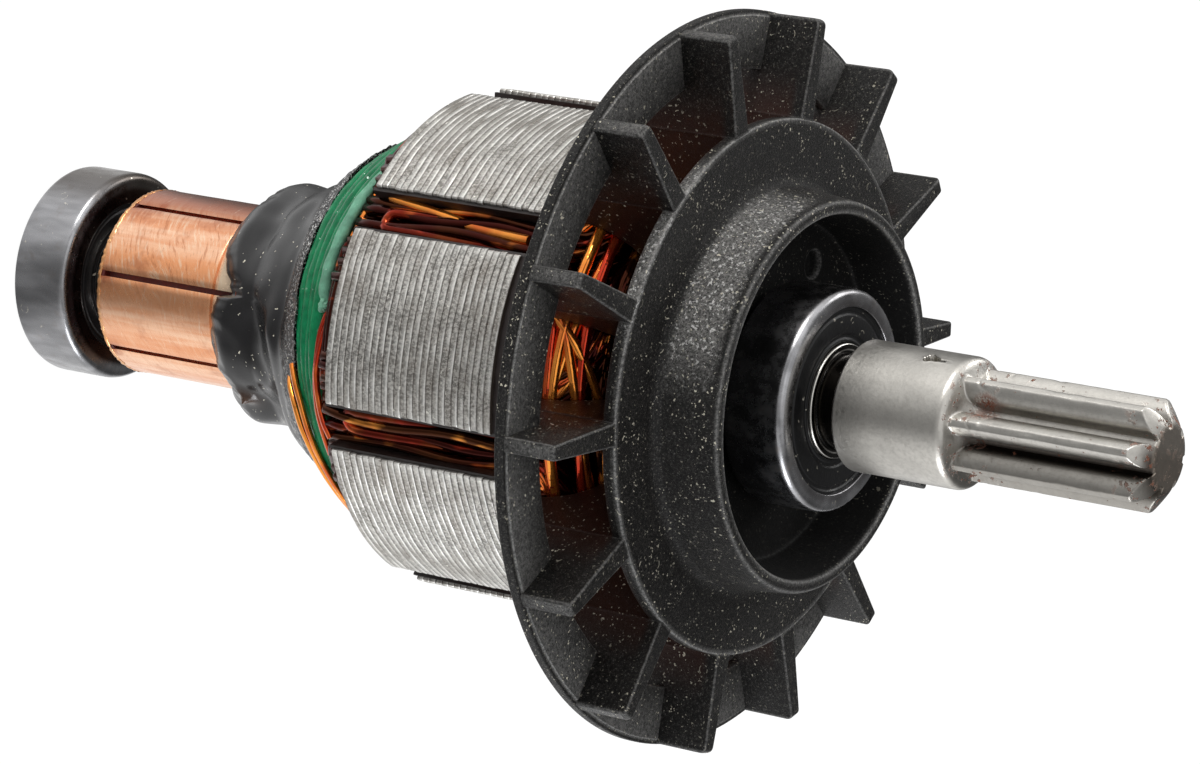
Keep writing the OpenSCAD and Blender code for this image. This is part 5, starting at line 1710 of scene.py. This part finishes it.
class ARMATURE_OT_stage(bpy.types.Operator):
    """Sets the floor, the soft lamps, the air and the camera"""

    bl_idname = "armature.stage"
    bl_label = "Stage"

    def execute(self, context):
        scene, colours = context.scene, context.scene.armature_colours
        right = Vector((-0.1755, 0.5334, 0.8274))
        up = Vector((-0.9845, -0.0951, -0.1475))
        back = Vector((0.0, -0.8405, 0.5419))
        lens = bpy.data.cameras.new("Camera")
        lens.lens, lens.sensor_width, lens.sensor_fit = 150.85, 36.0, "HORIZONTAL"
        lens.clip_start, lens.clip_end = 0.02, 20.0
        camera = bpy.data.objects.new("Camera", lens)
        turn = Matrix((right, up, back)).transposed()
        camera.matrix_world = Matrix.Translation(Vector((1.98, -364.24, 293.48)) * MM) @ turn.to_4x4()
        scene.collection.objects.link(camera)
        scene.camera = camera

        half = 6.0
        ground = bpy.data.meshes.new("floor")
        corners = [(-half, -half, 0), (half, -half, 0), (half, half, 0), (-half, half, 0)]
        ground.from_pydata(corners, [], [(0, 1, 2, 3)])
        floor = bpy.data.objects.new("floor", ground)
        scene.collection.objects.link(floor)
        ground.materials.append(self.floor_finish(colours))

        middle = Vector((0, 0, 0.055))
        for name, way, distance, size, power, tone in (
            ("Key", up * 0.95 + back * 0.42 - right * 0.12, 0.60, 0.26, 2.7, (1.0, 0.985, 0.96)),
            ("Low fill", up * -0.95 + back * 0.22, 0.62, 0.30, 1.7, (0.94, 0.965, 1.0)),
            ("Rim", right * 0.9 + up * 0.5 - back * 0.3, 0.60, 0.25, 0.8, (1.0, 1.0, 1.0)),
        ):
            lamp = bpy.data.lights.new(name, "AREA")
            lamp.shape, lamp.size, lamp.energy, lamp.color = "SQUARE", size, power, tone
            holder = bpy.data.objects.new(name, lamp)
            way = way.normalized()
            turn = way.to_track_quat("Z", "Y").to_matrix().to_4x4()
            holder.matrix_world = Matrix.Translation(middle + way * distance) @ turn
            scene.collection.objects.link(holder)
        self.air(scene, back)
        scene.view_settings.view_transform = "Standard"
        return {"FINISHED"}

    @staticmethod
    def floor_finish(colours):
        """Pale floor: white to the eye, with the object's shadow kept.

        Polished pieces see painted pools of light on it, as if lamps from two sides lit it: bright there,
        dimmer between, and dimmest behind the object.
        """
        material = bpy.data.materials.new("Floor")
        material.use_nodes = True
        tree = material.node_tree
        tree.nodes.clear()
        here = vector_maths(tree, "NORMALIZE", object_coordinates(tree))
        pools = []
        for side, start, full in ((-160, 0.1, 1.0), (10, 0.24, 0.82)):
            way = (math.cos(math.radians(side)), math.sin(math.radians(side)), 0.0)
            toward = reading(tree, "DOT_PRODUCT", here, way)
            pools.append(ranged(tree, toward, start, full))
        pool = ranged(tree, maths(tree, "MAXIMUM", *pools), 0.0, 1.0, 0.2, 1.0, soft=False)
        behind = reading(tree, "DOT_PRODUCT", here, (-0.35, 0.94, 0.0))
        pool = times(tree, pool, ranged(tree, behind, 0.55, 0.95, 1.0, 0.25))
        eye = put(tree, "ShaderNodeLightPath").outputs["Is Camera Ray"]
        lit = maths(tree, "MAXIMUM", eye, pool)
        diffuse = put(tree, "ShaderNodeBsdfDiffuse", {"Color": rgba(colours.floor)})
        shine = times(tree, lit, 0.95)
        glow = put(tree, "ShaderNodeEmission", {"Color": (1, 1, 1, 1), "Strength": shine})
        faint = put(tree, "ShaderNodeBsdfDiffuse", {"Color": rgba(colours.floor, 0.14)})
        seen = put(tree, "ShaderNodeAddShader")
        tree.links.new(glow.outputs[0], seen.inputs[0])
        tree.links.new(faint.outputs[0], seen.inputs[1])
        path = put(tree, "ShaderNodeLightPath").outputs
        direct = maths(tree, "MAXIMUM", path["Is Camera Ray"], path["Is Glossy Ray"])
        direct = maths(tree, "MAXIMUM", direct, path["Is Transmission Ray"])
        mix = put(tree, "ShaderNodeMixShader", {0: direct})
        tree.links.new(diffuse.outputs[0], mix.inputs[1])
        tree.links.new(seen.outputs[0], mix.inputs[2])
        out = put(tree, "ShaderNodeOutputMaterial")
        tree.links.new(mix.outputs[0], out.inputs["Surface"])
        return material

    @staticmethod
    def air(scene, back):
        """The room: white to the eye, and dim for light, brighter at the picture's top and overhead.

        Reflections also see bright sides.
        """
        world = bpy.data.worlds.new("Air")
        world.use_nodes = True
        tree = world.node_tree
        tree.nodes.clear()
        way = put(tree, "ShaderNodeTexCoord").outputs["Generated"]
        facing = reading(tree, "DOT_PRODUCT", way, tuple(back))
        upper = axis_parts(tree, way)["X"]
        ceiling = reading(tree, "DOT_PRODUCT", way, (-0.15, -0.3, 0.942))
        room = ranged(tree, upper, -0.95, 0.6, 0.50, 0.2)
        room = maths(tree, "SUBTRACT", room, ranged(tree, facing, 0.4, 0.98, 0.0, 0.12))
        path = put(tree, "ShaderNodeLightPath").outputs
        room = times(tree, room, ranged(tree, path["Is Glossy Ray"], 0.0, 1.0, 1.0, 0.6, soft=False))
        room = plus(tree, room, ranged(tree, ceiling, 0.62, 0.88, 0.0, 0.7))
        low_side, high_side = ranged(tree, upper, -0.45, -0.9), ranged(tree, upper, 0.45, 0.9, 0.0, 0.8)
        sides = plus(tree, low_side, high_side)
        near = axis_parts(tree, way)["Y"]
        sides = plus(tree, sides, ranged(tree, near, -0.4, -0.85, 0.0, 0.4))
        room = plus(tree, room, times(tree, sides, path["Is Glossy Ray"]))
        shade = put(tree, "ShaderNodeCombineColor", {"Red": room, "Green": room, "Blue": room}).outputs[0]
        seen = put(tree, "ShaderNodeBackground", {"Color": (1, 1, 1, 1), "Strength": 1.0})
        lit = put(tree, "ShaderNodeBackground", {"Color": shade, "Strength": 1.0})
        mix = put(tree, "ShaderNodeMixShader", {0: path["Is Camera Ray"]})
        tree.links.new(lit.outputs[0], mix.inputs[1])
        tree.links.new(seen.outputs[0], mix.inputs[2])
        out = put(tree, "ShaderNodeOutputWorld")
        tree.links.new(mix.outputs[0], out.inputs["Surface"])
        scene.world = world


STEPS = (
    ARMATURE_OT_stage,
    ARMATURE_OT_shaft,
    ARMATURE_OT_bearings,
    ARMATURE_OT_commutator,
    ARMATURE_OT_core,
    ARMATURE_OT_coils,
    ARMATURE_OT_sleeve,
    ARMATURE_OT_lacing,
    ARMATURE_OT_fan,
    ARMATURE_OT_pinion,
    ARMATURE_OT_small_parts,
)


class ARMATURE_PT_panel(bpy.types.Panel):
    """Lists the sizes, the colours and the pieces"""

    bl_idname = "ARMATURE_PT_panel"
    bl_label = "Motor armature"
    bl_space_type = "VIEW_3D"
    bl_region_type = "UI"
    bl_category = "Armature"

    def draw(self, context):
        layout = self.layout
        for group in (context.scene.armature_sizes, context.scene.armature_colours):
            box = layout.box()
            for key in group.bl_rna.properties.keys():
                if key not in ("rna_type", "name"):
                    box.prop(group, key)
        for step in STEPS:
            layout.operator(step.bl_idname)


CLASSES = (ArmatureSizes, ArmatureColours, *STEPS, ARMATURE_PT_panel)


def register():
    for cls in CLASSES:
        bpy.utils.register_class(cls)
    bpy.types.Scene.armature_sizes = bpy.props.PointerProperty(type=ArmatureSizes)
    bpy.types.Scene.armature_colours = bpy.props.PointerProperty(type=ArmatureColours)


def unregister():
    del bpy.types.Scene.armature_colours
    del bpy.types.Scene.armature_sizes
    for cls in reversed(CLASSES):
        bpy.utils.unregister_class(cls)


def main():
    register()
    round_group()
    turning_group()
    dust_group()
    for step in STEPS:
        group, action = step.bl_idname.split(".")
        getattr(getattr(bpy.ops, group), action)()


if __name__ == "__main__":
    main()
